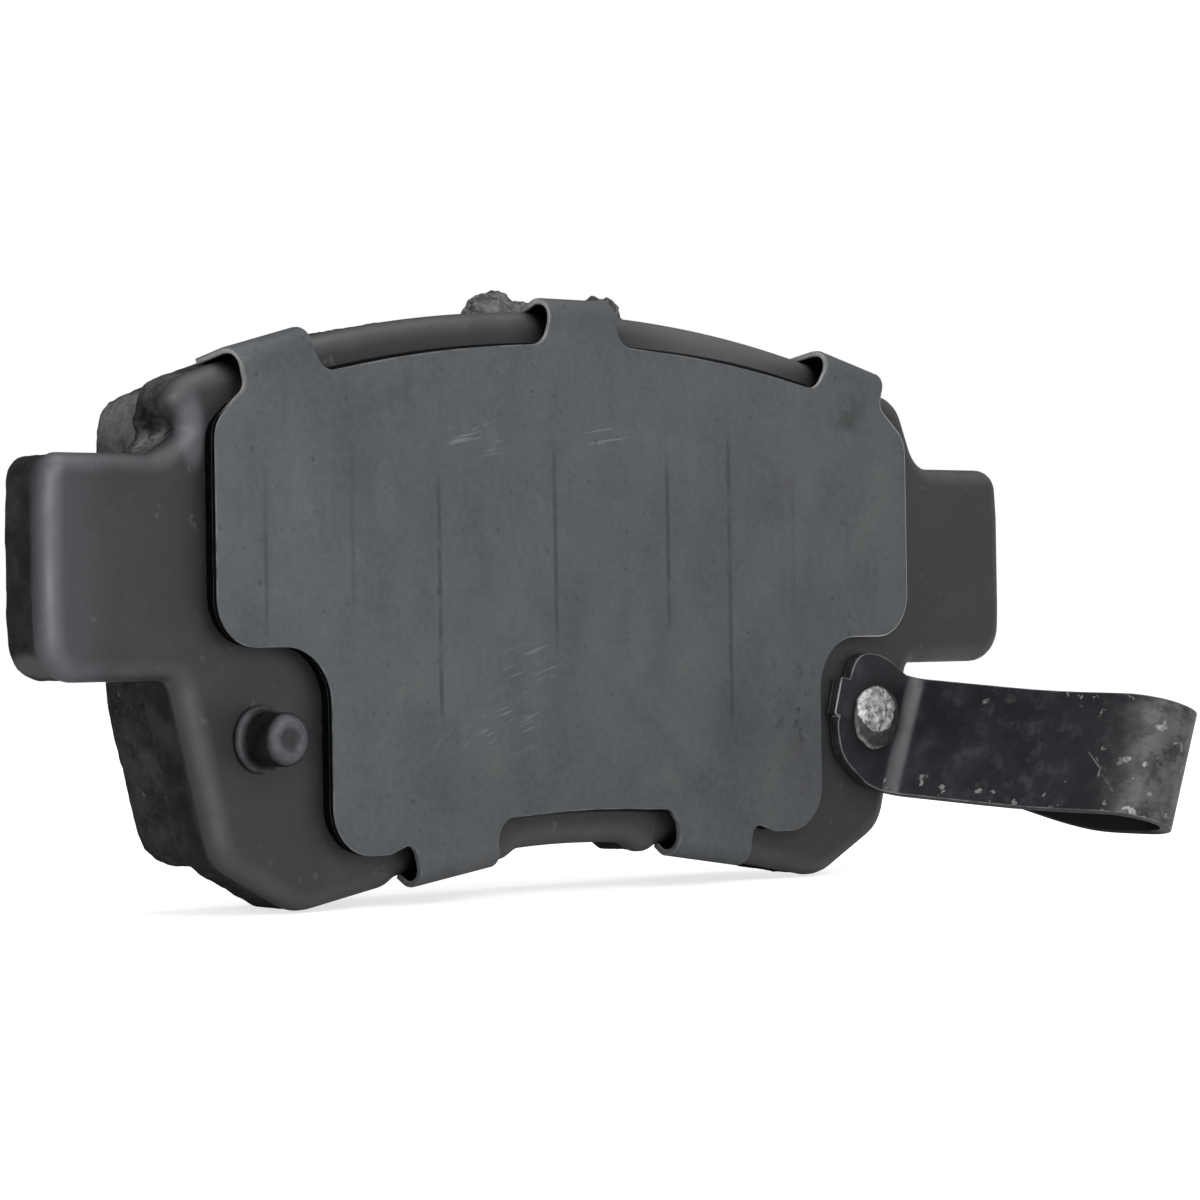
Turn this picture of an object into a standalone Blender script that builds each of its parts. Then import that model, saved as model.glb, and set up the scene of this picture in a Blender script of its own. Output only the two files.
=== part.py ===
"""Disc brake pad with a clip-on shim and a spring-steel wear indicator.

+X runs along the pad, +Y points from the piston side towards the rotor, +Z is radially outward.
The origin is the middle of the shim's piston face.
"""

from math import asin, cos, degrees, pi, radians, sin, sqrt

import bmesh
import bpy
from mathutils import Matrix, Vector

MM = 0.001
GAP = 0.3  # air left between pieces that touch

# Thicknesses through the pad, from the piston side to the rotor side
OUTER_SHIM_THICKNESS = 0.5
INNER_SHIM_THICKNESS = 0.4
PLATE_THICKNESS = 5.1
UNDERLAYER_THICKNESS = 1.2
FRICTION_THICKNESS = 6.3
INDICATOR_THICKNESS = 0.9

INNER_SHIM_FRONT = OUTER_SHIM_THICKNESS + GAP
PLATE_FRONT = INNER_SHIM_FRONT + INNER_SHIM_THICKNESS + GAP
PLATE_BACK = PLATE_FRONT + PLATE_THICKNESS
UNDERLAYER_FRONT = PLATE_BACK + GAP
FRICTION_FRONT = UNDERLAYER_FRONT + UNDERLAYER_THICKNESS + GAP
FRICTION_BACK = FRICTION_FRONT + FRICTION_THICKNESS
INDICATOR_FRONT = PLATE_FRONT - GAP - INDICATOR_THICKNESS

# Backing plate
ROTOR_CENTRE_Z = -102.8
PLATE_TOP_RADIUS = 122.2
TOP_ARC_END_X = 32.6
RIGHT_SHOULDER_X = 37.6
RIGHT_SHOULDER_RADIUS = 3.2
RIGHT_EAR_ROOT_X = 39.9
RIGHT_EAR_ROOT_RADIUS = 2.8
LEFT_SHOULDER_X = 38.5
LEFT_SHOULDER_RADIUS = 2.7
LEFT_EAR_ROOT_X = 38.3
LEFT_EAR_ROOT_RADIUS = 2.3
EAR_HALF_LENGTH = 50.0
EAR_HALF_HEIGHT = 8.0
EAR_END_TOP = 4.0  # the ear's end face runs straight from here
EAR_END_BOTTOM = -3.5  # to here
LOW_EDGE_Z = -21.9
LOW_EDGE_RADIUS = 108.0
ARCH_TOP_Z = -21.2  # floor of the middle notch and of the recesses for the shim's lower tabs
ARCH_RADIUS = 94.0
NOTCH_FLOOR_X = 5.6
NOTCH_EDGE_X = 6.9
RECESS_START_X = 8.3
RECESS_FLOOR_START_X = 9.2
RECESS_FLOOR_END_X = 17.9
RECESS_END_X = 18.9
LOBE_X = 27.5
LOBE_Z = -25.1
SIDE_TOP_X = 38.4
SIDE_BOTTOM_X = 35.5
SIDE_BOTTOM_Z = -18.7
LOW_CORNER_DROP = 2.6  # from SIDE_BOTTOM_Z to the lower outer corner, along the side's slope
ROLLED_EDGE = 1.2

# Pins pressed through the plate, one on each side
PEG_X = -31.3
RIVET_X = 32.35
PIN_Z = -12.35
SHANK_RADIUS = 1.6
HOLE_RADIUS = SHANK_RADIUS + GAP

# Lining
LINING_INSET_TOP = 1.6
LINING_ARCH_INSET = 1.2
LINING_TOP_ARC_END_X = 30.0
LINING_CORNER_X = 36.0
LINING_CORNER_Z = 5.0
LINING_SIDE_X = 35.4
LINING_SIDE_Z = -10.0
LINING_LOW_X = 32.1
LINING_LOW_Z = -21.8
LINING_ARCH_START_X = 20.0
SLOT_HALF_WIDTH = 1.25
SLOT_DEPTH = 4.8
SLOT_LENGTH = 60.0
# Beads of lining squeezed out over the plate's top edge: name, x, half width, middle above the edge
FLASH_LUMPS = (("join_flash_wide", -0.8, 2.6, -0.3), ("join_flash_narrow", 10.7, 2.4, 0.2))
FLASH_HALF_DEPTH = 1.0
FLASH_HALF_HEIGHT = 2.3

# Clip-on shim
SHIM_HALF_WIDTH = 36.2
SHIM_STEP_Z = -5.8
SHIM_LOW_HALF_WIDTH = 25.7
SHIM_BOTTOM_Z = -21.1
SHIM_SHOULDER_Z = 10.2
SHIM_FOOT_X = 20.3
ARCH_SLOT_END_X = 5.0
SLOT_INSET = 2.6
STUB_INSET = 0.9
TAB_FLARE = 0.6  # how far each side of a tab spreads towards its root
TOP_TAB_HALF_WIDTH = 3.4
CENTRE_TAB_WRAP = 3.4  # how far each tab reaches over the plate's edge towards the rotor
SIDE_TAB_WRAP = 5.2
SIDE_TAB_ANGLE = 14.4
BOTTOM_TAB_X = 13.4
BOTTOM_TAB_HALF_WIDTH = 4.0
BOTTOM_TAB_WRAP = 2.9
HOOK_REACH = 0.95  # outer face of a folded tab beyond the plate's edge
HOOK_TIP_REACH = 0.6

# Shim underneath
INNER_SHIM_MARGIN = 0.35  # how far its edge lies inside the clip-on shim's

# Wear indicator
CREASE_X = 34.5
CREASE_Z = -13.6
STRIP_TILT = 15.7  # fall of the strip's length below level, in degrees
STRIP_LEAN = 0.09  # the strip is cut askew: shift along it for each millimetre across it
STRIP_WIDTH = 9.9
TONGUE_WIDTH = 5.6
TAPER_SHARE = 0.9  # part of the return run over which the strip narrows

ARC_STEP = 15.0  # widest turn between two points of a rounded corner, in degrees
ROUND_STEPS = 24


# ---------------------------------------------------------------- scene helpers

def clear_scene():
    for old in list(bpy.data.objects):
        bpy.data.objects.remove(old, do_unlink=True)


def new_collection(name):
    collection = bpy.data.collections.new(name)
    bpy.context.scene.collection.children.link(collection)
    return collection


def new_material(name, color, roughness, metallic):
    material = bpy.data.materials.new(name)
    material.use_nodes = True
    shader = material.node_tree.nodes["Principled BSDF"]
    shader.inputs["Base Color"].default_value = (*color, 1.0)
    shader.inputs["Roughness"].default_value = roughness
    shader.inputs["Metallic"].default_value = metallic
    return material


def add_object(name, mesh, collection, material=None):
    obj = bpy.data.objects.new(name, mesh)
    collection.objects.link(obj)
    if material is not None:
        mesh.materials.clear()
        mesh.materials.append(material)
    return obj


def smooth_round_faces(mesh):
    mesh.shade_smooth()
    mesh.set_sharp_from_angle(angle=radians(30))


# ---------------------------------------------------------------- outline helpers

def rounded_path(corners, closed):
    """Turn (x, y, radius) corners into points, with an arc at each corner that has a radius."""
    points = []
    count = len(corners)
    for index, (x, y, radius) in enumerate(corners):
        here = Vector((x, y))
        is_end = not closed and index in (0, count - 1)
        if radius == 0 or is_end:
            points.append(here)
            continue
        before = Vector(corners[index - 1][:2]) - here
        after = Vector(corners[(index + 1) % count][:2]) - here
        before.normalize()
        after.normalize()
        opening = before.angle(after)
        reach = radius / abs(sin(opening / 2)) * cos(opening / 2)
        centre = here + (before + after).normalized() * (radius / sin(opening / 2))
        start = here + before * reach - centre
        turn = pi - opening
        if before.x * after.y - before.y * after.x > 0:
            turn = -turn
        steps = max(2, round(abs(degrees(turn)) / ARC_STEP))
        for step in range(steps + 1):
            spin = Matrix.Rotation(turn * step / steps, 2)
            points.append(centre + spin @ start)
    return points


def flipped(half):
    """A half outline on the other side of the centre line, running back to the top."""
    return [(-x, y, radius) for x, y, radius in reversed(half) if x > 0]


def mirrored(half):
    """Close an outline whose right half is given from the top centre line to the bottom one."""
    return half + flipped(half)


def top_arc_z(x, inset):
    return ROTOR_CENTRE_Z + sqrt((PLATE_TOP_RADIUS - inset) ** 2 - x * x)


def arch_z(x, inset):
    return ARCH_TOP_Z - ARCH_RADIUS + sqrt((ARCH_RADIUS + inset) ** 2 - x * x)


def arc_run(height, start_x, end_x, inset, steps):
    """Points along the plate's top arc or its bottom arch, moved into the plate by inset."""
    run = []
    for step in range(steps + 1):
        x = start_x + (end_x - start_x) * step / steps
        run.append((x, height(x, inset), 0))
    return run


def sheet_from_outline(name, corners, thickness, front):
    """A flat piece of even thickness, standing upright with its piston side at y = front."""
    curve = bpy.data.curves.new(name + "_outline", "CURVE")
    curve.dimensions = "2D"
    curve.fill_mode = "BOTH"
    curve.extrude = thickness / 2 * MM
    points = rounded_path(corners, closed=True)
    spline = curve.splines.new("POLY")
    spline.points.add(len(points) - 1)
    spline.use_cyclic_u = True
    for place, point in zip(spline.points, points):
        place.co = (point.x * MM, point.y * MM, 0, 1)
    guide = bpy.data.objects.new(name + "_outline", curve)
    bpy.context.scene.collection.objects.link(guide)
    guide.rotation_euler = (pi / 2, 0, 0)
    guide.location = (0, (front + thickness / 2) * MM, 0)
    bpy.context.view_layer.update()
    evaluated = guide.evaluated_get(bpy.context.evaluated_depsgraph_get())
    mesh = bpy.data.meshes.new_from_object(evaluated)
    mesh.transform(guide.matrix_world)
    bpy.data.objects.remove(guide, do_unlink=True)
    weld(mesh)
    mesh.name = name
    return mesh


def weld(mesh):
    """Join the loose caps of a converted curve and merge each cap into one flat face."""
    work = bmesh.new()
    work.from_mesh(mesh)
    bmesh.ops.remove_doubles(work, verts=work.verts, dist=0.001 * MM)
    bmesh.ops.dissolve_limit(work, angle_limit=radians(0.05), verts=work.verts, edges=work.edges)
    bmesh.ops.recalc_face_normals(work, faces=work.faces)
    work.to_mesh(mesh)
    work.free()


def mark_edges_at(mesh, y, size):
    """Give the edges lying in the plane y a bevel weight, so that a Bevel rounds only those."""
    weights = mesh.attributes.new("bevel_weight_edge", "FLOAT", "EDGE")
    for edge in mesh.edges:
        ends = [mesh.vertices[index].co.y for index in edge.vertices]
        if all(abs(end - y * MM) < size for end in ends):
            weights.data[edge.index].value = 1.0


def round_marked_edges(obj, width, segments):
    bevel = obj.modifiers.new("Rolled edge", "BEVEL")
    bevel.limit_method = "WEIGHT"
    bevel.width = width * MM
    bevel.segments = segments
    bevel.harden_normals = False


def apply_modifiers(obj):
    bpy.context.view_layer.update()
    evaluated = obj.evaluated_get(bpy.context.evaluated_depsgraph_get())
    mesh = bpy.data.meshes.new_from_object(evaluated)
    obj.modifiers.clear()
    obj.data = mesh
    return mesh


def add_cutter(obj, cutter, operation="DIFFERENCE"):
    cut = obj.modifiers.new(cutter.name, "BOOLEAN")
    cut.operation = operation
    cut.solver = "EXACT"
    cut.object = cutter


def new_cutter(name, work, collection):
    mesh = bpy.data.meshes.new(name)
    work.to_mesh(mesh)
    work.free()
    cutter = add_object(name, mesh, collection)
    cutter.hide_render = True
    cutter.display_type = "WIRE"
    return cutter


def cylinder_cutter(name, x, z, radius, length, collection):
    work = bmesh.new()
    turn = Matrix.Rotation(pi / 2, 4, "X")
    bmesh.ops.create_cone(work, cap_ends=True, segments=ROUND_STEPS, radius1=radius * MM,
                          radius2=radius * MM, depth=length * MM, matrix=turn)
    cutter = new_cutter(name, work, collection)
    cutter.location = (x * MM, (PLATE_FRONT + PLATE_THICKNESS / 2) * MM, z * MM)
    return cutter


def box_cutter(name, size, centre, collection):
    work = bmesh.new()
    bmesh.ops.create_cube(work, size=1.0)
    bmesh.ops.scale(work, vec=[side * MM for side in size], verts=work.verts)
    cutter = new_cutter(name, work, collection)
    cutter.location = [place * MM for place in centre]
    return cutter


def turned_piece(name, profile, collection, material):
    """Turn a (radius, depth) profile about a pin's axis; depth runs towards the rotor."""
    mesh = bpy.data.meshes.new(name)
    work = bmesh.new()
    points = [work.verts.new((radius * MM, 0, -depth * MM)) for radius, depth in profile]
    for first, second in zip(points, points[1:]):
        work.edges.new((first, second))
    work.to_mesh(mesh)
    work.free()
    obj = add_object(name, mesh, collection, material)
    screw = obj.modifiers.new("Turn", "SCREW")
    screw.steps = ROUND_STEPS
    screw.render_steps = ROUND_STEPS
    screw.use_merge_vertices = True
    screw.merge_threshold = 0.00001
    screw.use_normal_calculate = False
    screw.use_smooth_shade = False
    obj.rotation_euler = (pi / 2, 0, 0)
    return obj


# ---------------------------------------------------------------- backing plate

def low_edge_z(x, inset):
    return LOW_EDGE_Z - LOW_EDGE_RADIUS + sqrt((LOW_EDGE_RADIUS + inset) ** 2 - x * x)


def plate_half(shoulder_x, shoulder_radius, root_x, root_radius):
    """One half of the outline, from the top centre line to the bottom one."""
    side_slope = (SIDE_TOP_X - SIDE_BOTTOM_X) / (-EAR_HALF_HEIGHT - SIDE_BOTTOM_Z)
    low_corner_x = SIDE_BOTTOM_X - side_slope * LOW_CORNER_DROP
    half = arc_run(top_arc_z, 0.0, TOP_ARC_END_X, 0.0, 9)
    half += [
        (shoulder_x, top_arc_z(shoulder_x, 0.0), shoulder_radius),
        (root_x, EAR_HALF_HEIGHT, root_radius),
        (EAR_HALF_LENGTH - 0.3, EAR_HALF_HEIGHT, 1.8),
        (EAR_HALF_LENGTH, EAR_END_TOP, 0),
        (EAR_HALF_LENGTH, EAR_END_BOTTOM, 0),
        (EAR_HALF_LENGTH - 0.2, -EAR_HALF_HEIGHT, 3.0),
        (SIDE_TOP_X, -EAR_HALF_HEIGHT, 0.9),
        (low_corner_x, SIDE_BOTTOM_Z - LOW_CORNER_DROP, 3.6),
        (LOBE_X, LOBE_Z, 4.6),
        (RECESS_END_X, low_edge_z(RECESS_END_X, 0.0), 1.4),
        (RECESS_FLOOR_END_X, arch_z(RECESS_FLOOR_END_X, 0.0), 0.8),
    ]
    half += arc_run(arch_z, RECESS_FLOOR_END_X - 1.5, RECESS_FLOOR_START_X + 1.5, 0.0, 2)
    half += [
        (RECESS_FLOOR_START_X, arch_z(RECESS_FLOOR_START_X, 0.0), 0.8),
        (RECESS_START_X, low_edge_z(RECESS_START_X, 0.0), 1.4),
        (NOTCH_EDGE_X, low_edge_z(NOTCH_EDGE_X, 0.0), 1.4),
        (NOTCH_FLOOR_X, arch_z(NOTCH_FLOOR_X, 0.0), 1.5),
    ]
    half += arc_run(arch_z, NOTCH_FLOOR_X - 2.0, 0.0, 0.0, 2)
    return half


def plate_outline():
    """The left shoulder stands steeper than the right one, so the halves differ there."""
    right = plate_half(RIGHT_SHOULDER_X, RIGHT_SHOULDER_RADIUS, RIGHT_EAR_ROOT_X,
                       RIGHT_EAR_ROOT_RADIUS)
    left = plate_half(LEFT_SHOULDER_X, LEFT_SHOULDER_RADIUS, LEFT_EAR_ROOT_X,
                      LEFT_EAR_ROOT_RADIUS)
    return right + flipped(left)


def make_plate(collection, cutters, material):
    mesh = sheet_from_outline("backing_plate", plate_outline(), PLATE_THICKNESS, PLATE_FRONT)
    mark_edges_at(mesh, PLATE_FRONT, 0.01 * MM)
    plate = add_object("backing_plate", mesh, collection, material)
    round_marked_edges(plate, ROLLED_EDGE, 3)
    for x, name in ((PEG_X, "cut_peg_hole"), (RIVET_X, "cut_plate_rivet_hole")):
        hole = cylinder_cutter(name, x, PIN_Z, HOLE_RADIUS, PLATE_THICKNESS * 2, cutters)
        add_cutter(plate, hole)
    mesh = apply_modifiers(plate)
    smooth_round_faces(mesh)
    return plate


# ---------------------------------------------------------------- lining

def lining_outline(inset=0.0):
    corner_x = LINING_CORNER_X - inset
    top_inset = LINING_INSET_TOP + inset
    half = arc_run(top_arc_z, 0.0, LINING_TOP_ARC_END_X, top_inset, 8)
    half += [
        (corner_x, top_arc_z(corner_x, top_inset), 3.4),
        (corner_x, LINING_CORNER_Z, 3.0),
        (LINING_SIDE_X - inset, LINING_SIDE_Z, 6.0),
        (LINING_LOW_X - inset, LINING_LOW_Z + inset, 3.6),
    ]
    half += arc_run(arch_z, LINING_ARCH_START_X, 0.0, LINING_ARCH_INSET + inset, 6)
    return mirrored(half)


def make_lining(collection, cutters, layer_material, block_material):
    mesh = sheet_from_outline("lining_underlayer", lining_outline(), UNDERLAYER_THICKNESS,
                              UNDERLAYER_FRONT)
    add_object("lining_underlayer", mesh, collection, layer_material)
    mesh = sheet_from_outline("friction_block", lining_outline(0.1), FRICTION_THICKNESS,
                              FRICTION_FRONT)
    block = add_object("friction_block", mesh, collection, block_material)
    slot_size = (SLOT_HALF_WIDTH * 2, SLOT_DEPTH * 2, SLOT_LENGTH)
    add_cutter(block, box_cutter("cut_slot", slot_size, (0, FRICTION_BACK, 0), cutters))
    for name, x, half_width, rise in FLASH_LUMPS:
        add_cutter(block, flash_lump(name, x, half_width, rise, cutters), "UNION")
    mesh = apply_modifiers(block)
    smooth_round_faces(mesh)


def flash_lump(name, x, half_width, rise, collection):
    """A bead of lining standing on the block's top edge."""
    work = bmesh.new()
    bmesh.ops.create_icosphere(work, subdivisions=2, radius=1.0)
    size = (half_width * MM, FLASH_HALF_DEPTH * MM, FLASH_HALF_HEIGHT * MM)
    bmesh.ops.scale(work, vec=size, verts=work.verts)
    lump = new_cutter(name, work, collection)
    middle_y = FRICTION_FRONT + FLASH_HALF_DEPTH + 0.1
    lump.location = (x * MM, middle_y * MM, (top_arc_z(x, 0.0) + rise) * MM)
    lump.rotation_euler = (0, asin(x / PLATE_TOP_RADIUS), 0)
    return lump


# ---------------------------------------------------------------- shims

def inner_shim_outline():
    """The clip-on shim's outline without its tabs, a little smaller all round."""
    margin = INNER_SHIM_MARGIN
    inset = SLOT_INSET + margin
    half = arc_run(top_arc_z, 0.0, SHIM_HALF_WIDTH - 4.7, inset, 7)
    half += [
        (SHIM_HALF_WIDTH - 2.2, top_arc_z(SHIM_HALF_WIDTH - 2.2, inset), 1.5),
        (SHIM_HALF_WIDTH - margin, SHIM_SHOULDER_Z - margin, 2.4),
        (SHIM_HALF_WIDTH - margin, SHIM_STEP_Z + margin, 3.3),
        (SHIM_LOW_HALF_WIDTH - margin, SHIM_STEP_Z + margin, 4.5),
        (SHIM_LOW_HALF_WIDTH - margin, SHIM_BOTTOM_Z + margin, 3.3),
        (SHIM_FOOT_X - margin, SHIM_BOTTOM_Z + margin, 1.2),
        (SHIM_FOOT_X - 2.5, arch_z(SHIM_FOOT_X - 2.5, inset), 1.0),
    ]
    half += arc_run(arch_z, SHIM_FOOT_X - 4.3, 0.0, inset, 4)
    return mirrored(half)


def make_inner_shim(collection, material):
    mesh = sheet_from_outline("inner_shim", inner_shim_outline(), INNER_SHIM_THICKNESS,
                              INNER_SHIM_FRONT)
    add_object("inner_shim", mesh, collection, material)


def edge_frame(centre_z, radius, angle):
    """Point, outward direction and sideways direction on an arc, at an angle from straight up."""
    outward = Vector((sin(angle), cos(angle)))
    sideways = Vector((cos(angle), -sin(angle)))
    return Vector((0, centre_z)) + outward * radius, outward, sideways


def tab_frames():
    """Each tab's stub end: middle, outward and sideways directions, half width and wrap."""
    frames = []
    for degree, wrap in ((0.0, CENTRE_TAB_WRAP), (SIDE_TAB_ANGLE, SIDE_TAB_WRAP)):
        frame = edge_frame(ROTOR_CENTRE_Z, PLATE_TOP_RADIUS - STUB_INSET, radians(degree))
        frames.append((*frame, TOP_TAB_HALF_WIDTH, wrap))
    angle = asin(BOTTOM_TAB_X / ARCH_RADIUS)
    middle, outward, sideways = edge_frame(ARCH_TOP_Z - ARCH_RADIUS, ARCH_RADIUS + STUB_INSET, angle)
    frames.append((middle, -outward, sideways, BOTTOM_TAB_HALF_WIDTH, BOTTOM_TAB_WRAP))
    return frames


def shim_outline():
    centre_tab, side_tab, bottom_tab = tab_frames()
    stub = SLOT_INSET - STUB_INSET
    fillet = 1.6
    slot_end_room = 2.8  # straight slot kept clear of the fillets

    def tip(tab, side):
        middle, outward, sideways, half_width, wrap = tab
        place = middle + sideways * half_width * side
        return place.x, place.y, 0

    def root(tab, side, drop, flare, radius):
        middle, outward, sideways, half_width, wrap = tab
        place = middle + sideways * (half_width + flare) * side - outward * drop
        return place.x, place.y, radius

    slot_start = root(centre_tab, 1, stub, TAB_FLARE, fillet)
    slot_end = root(side_tab, -1, stub, TAB_FLARE, fillet)
    half = [tip(centre_tab, 1), slot_start]
    half += arc_run(top_arc_z, slot_start[0] + slot_end_room, slot_end[0] - slot_end_room,
                    SLOT_INSET, 5)
    half += [
        slot_end,
        tip(side_tab, -1),
        tip(side_tab, 1),
        root(side_tab, 1, 1.1, 0.0, 1.0),
        (SHIM_HALF_WIDTH, SHIM_SHOULDER_Z, 2.6),
        (SHIM_HALF_WIDTH, SHIM_STEP_Z, 3.5),
        (SHIM_LOW_HALF_WIDTH, SHIM_STEP_Z, 4.2),
        (SHIM_LOW_HALF_WIDTH, SHIM_BOTTOM_Z, 3.6),
        (SHIM_FOOT_X, SHIM_BOTTOM_Z, 1.4),
        root(bottom_tab, 1, stub - 0.1, 0.2, 0.85),
        tip(bottom_tab, 1),
        tip(bottom_tab, -1),
        root(bottom_tab, -1, stub, TAB_FLARE, fillet),
    ]
    half += arc_run(arch_z, ARCH_SLOT_END_X, 0.0, SLOT_INSET, 3)
    return mirrored(half)


def hook_path(wrap):
    """A tab's outer face from its stub: (outward, towards the rotor) from the plate's edge."""
    return rounded_path([
        (-STUB_INSET, 0.0, 0),
        (HOOK_REACH, -0.15, 1.45),
        (HOOK_REACH, 1.9, 2.0),
        (HOOK_TIP_REACH, wrap, 0),
    ], closed=False)


def make_outer_shim(collection, material):
    work = bmesh.new()
    points = rounded_path(shim_outline(), closed=True)
    ring = [work.verts.new((point.x * MM, 0, point.y * MM)) for point in points]
    face = work.faces.new(ring)
    face.normal_update()
    if face.normal.y > 0:
        face.normal_flip()
    for middle, outward, sideways, half_width, wrap in tab_frames():
        places = [(middle, outward)]
        if middle.x > 1.0:
            flip = Vector((-1, 1))
            places.append((middle * flip, outward * flip))
        for place, direction in places:
            grow_tab(work, place, direction, wrap)
    mesh = bpy.data.meshes.new("outer_shim")
    bmesh.ops.recalc_face_normals(work, faces=work.faces)
    biggest = max(work.faces, key=lambda item: item.calc_area())
    if biggest.normal.y > 0:
        bmesh.ops.reverse_faces(work, faces=work.faces)
    work.to_mesh(mesh)
    work.free()
    shim = add_object("outer_shim", mesh, collection, material)
    thicken = shim.modifiers.new("Sheet", "SOLIDIFY")
    thicken.thickness = OUTER_SHIM_THICKNESS * MM
    thicken.offset = -1.0
    thicken.use_even_offset = True
    mesh = apply_modifiers(shim)
    smooth_round_faces(mesh)


def grow_tab(work, middle, outward, wrap):
    """Extrude the outline's edge at a stub's end along the hook path."""
    target = Vector((middle.x * MM, 0, middle.y * MM))
    edge = min(work.edges, key=lambda item: (edge_middle(item) - target).length)
    path = hook_path(wrap)
    for before, after in zip(path, path[1:]):
        step = after - before
        move = Vector((outward.x * step.x, step.y, outward.y * step.x)) * MM
        made = bmesh.ops.extrude_edge_only(work, edges=[edge])["geom"]
        bmesh.ops.translate(work, vec=move, verts=[item for item in made
                                                  if isinstance(item, bmesh.types.BMVert)])
        edge = next(item for item in made if isinstance(item, bmesh.types.BMEdge)
                    and all(end in made for end in item.verts))


def edge_middle(edge):
    return (edge.verts[0].co + edge.verts[1].co) / 2


# ---------------------------------------------------------------- pins

def make_locating_peg(collection, material):
    profile = [
        (0.0, -3.35), (0.55, -3.35), (0.95, -3.55), (1.55, -3.55), (1.95, -3.15), (1.95, -0.75),
        (2.2, -0.7), (2.45, -0.45), (2.45, -GAP / 2), (SHANK_RADIUS, -GAP / 2),
        (SHANK_RADIUS, PLATE_THICKNESS - GAP), (0.0, PLATE_THICKNESS - GAP),
    ]
    peg = turned_piece("locating_peg", profile, collection, material)
    peg.location = (PEG_X * MM, PLATE_FRONT * MM, PIN_Z * MM)
    finish_turned(peg)


def make_indicator_rivet(collection, material):
    seat = INDICATOR_FRONT - PLATE_FRONT - GAP
    profile = [
        (0.0, seat - 0.95), (1.1, seat - 0.9), (1.9, seat - 0.72), (2.4, seat - 0.45),
        (2.6, seat - 0.15), (2.6, seat), (SHANK_RADIUS, seat),
        (SHANK_RADIUS, PLATE_THICKNESS - GAP), (0.0, PLATE_THICKNESS - GAP),
    ]
    rivet = turned_piece("indicator_rivet", profile, collection, material)
    rivet.location = (RIVET_X * MM, PLATE_FRONT * MM, PIN_Z * MM)
    finish_turned(rivet)


def finish_turned(obj):
    """Weld the turned skin's seam and the points on its axis."""
    mesh = apply_modifiers(obj)
    work = bmesh.new()
    work.from_mesh(mesh)
    bmesh.ops.remove_doubles(work, verts=work.verts, dist=0.002 * MM)
    bmesh.ops.recalc_face_normals(work, faces=work.faces)
    work.to_mesh(mesh)
    work.free()
    smooth_round_faces(mesh)


# ---------------------------------------------------------------- wear indicator

def crease_point(along, up):
    """World x and z of a point given along the strip and square to it, from the crease's middle."""
    tilt = radians(STRIP_TILT)
    x = CREASE_X + along * cos(tilt) + up * sin(tilt)
    z = CREASE_Z - along * sin(tilt) + up * cos(tilt)
    return x, z


def indicator_base_outline():
    """A rounded pad about the rivet, with a square lug at the left, that runs into the strip."""
    edge = -GAP / 2
    half = STRIP_WIDTH / 2
    skew = STRIP_LEAN * half
    corners = [
        (edge + skew, half, 0),
        (-2.87, 5.88, 5.0),
        (-5.67, 5.13, 1.9),
        (-6.0, 2.9, 0),
        (-7.0, 2.85, 0.2),
        (-7.05, -0.25, 0.2),
        (-6.48, -0.3, 0),
        (-6.57, -0.87, 1.6),
        (-5.47, -3.37, 3.5),
        (-1.97, -4.85, 3.0),
        (edge - skew, -half, 0),
    ]
    return [(*crease_point(along, up), radius) for along, up, radius in corners]


def make_indicator_base(collection, cutters, material):
    mesh = sheet_from_outline("wear_indicator_base", indicator_base_outline(), INDICATOR_THICKNESS,
                              INDICATOR_FRONT)
    base = add_object("wear_indicator_base", mesh, collection, material)
    hole = cylinder_cutter("cut_base_rivet_hole", RIVET_X, PIN_Z, HOLE_RADIUS, PLATE_THICKNESS * 3,
                           cutters)
    add_cutter(base, hole)
    mesh = apply_modifiers(base)
    smooth_round_faces(mesh)


def strip_corners():
    """The strip's middle line: (along, towards the rotor, radius)."""
    return [
        (GAP / 2, 0.0, 0),
        (1.5, 0.0, 1.8),
        (5.83, -11.0, 25.0),
        (6.83, -21.3, 3.2),
        (13.83, -21.3, 3.6),
        (13.43, -13.5, 8.0),
        (6.13, 1.5, 8.0),
        (5.13, 8.1, 0),
    ]


def tongue_width(point, corners):
    """Width on the return run, which tapers smoothly from the loop to the tongue."""
    start = Vector(corners[-3][:2])
    run = Vector(corners[-2][:2]) - start
    passed = (point - start).dot(run) / run.length_squared / TAPER_SHARE
    share = min(max(passed, 0.0), 1.0)
    return STRIP_WIDTH + (TONGUE_WIDTH - STRIP_WIDTH) * share * share * (3 - 2 * share)


def make_indicator_leaf(collection, pivot, material):
    corners = strip_corners()
    path = rounded_path(corners, closed=False)
    far_end = max(range(len(path)), key=lambda index: path[index].x)
    work = bmesh.new()
    previous = None
    for index, point in enumerate(path):
        width = tongue_width(point, corners) if index > far_end else STRIP_WIDTH
        row = []
        for side in (-1, 1):
            up = side * width / 2
            along = point.x + STRIP_LEAN * up
            row.append(work.verts.new((along * MM, point.y * MM, up * MM)))
        edge = work.edges.new(row)
        if previous is not None:
            bmesh.ops.bridge_loops(work, edges=[previous, edge])
        previous = edge
    bmesh.ops.recalc_face_normals(work, faces=work.faces)
    mesh = bpy.data.meshes.new("wear_indicator_leaf")
    work.to_mesh(mesh)
    work.free()
    leaf = add_object("wear_indicator_leaf", mesh, collection, material)
    leaf.parent = pivot
    thicken = leaf.modifiers.new("Sheet", "SOLIDIFY")
    thicken.thickness = INDICATOR_THICKNESS * MM
    thicken.offset = 0.0
    thicken.use_even_offset = True
    mesh = apply_modifiers(leaf)
    smooth_round_faces(mesh)


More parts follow.
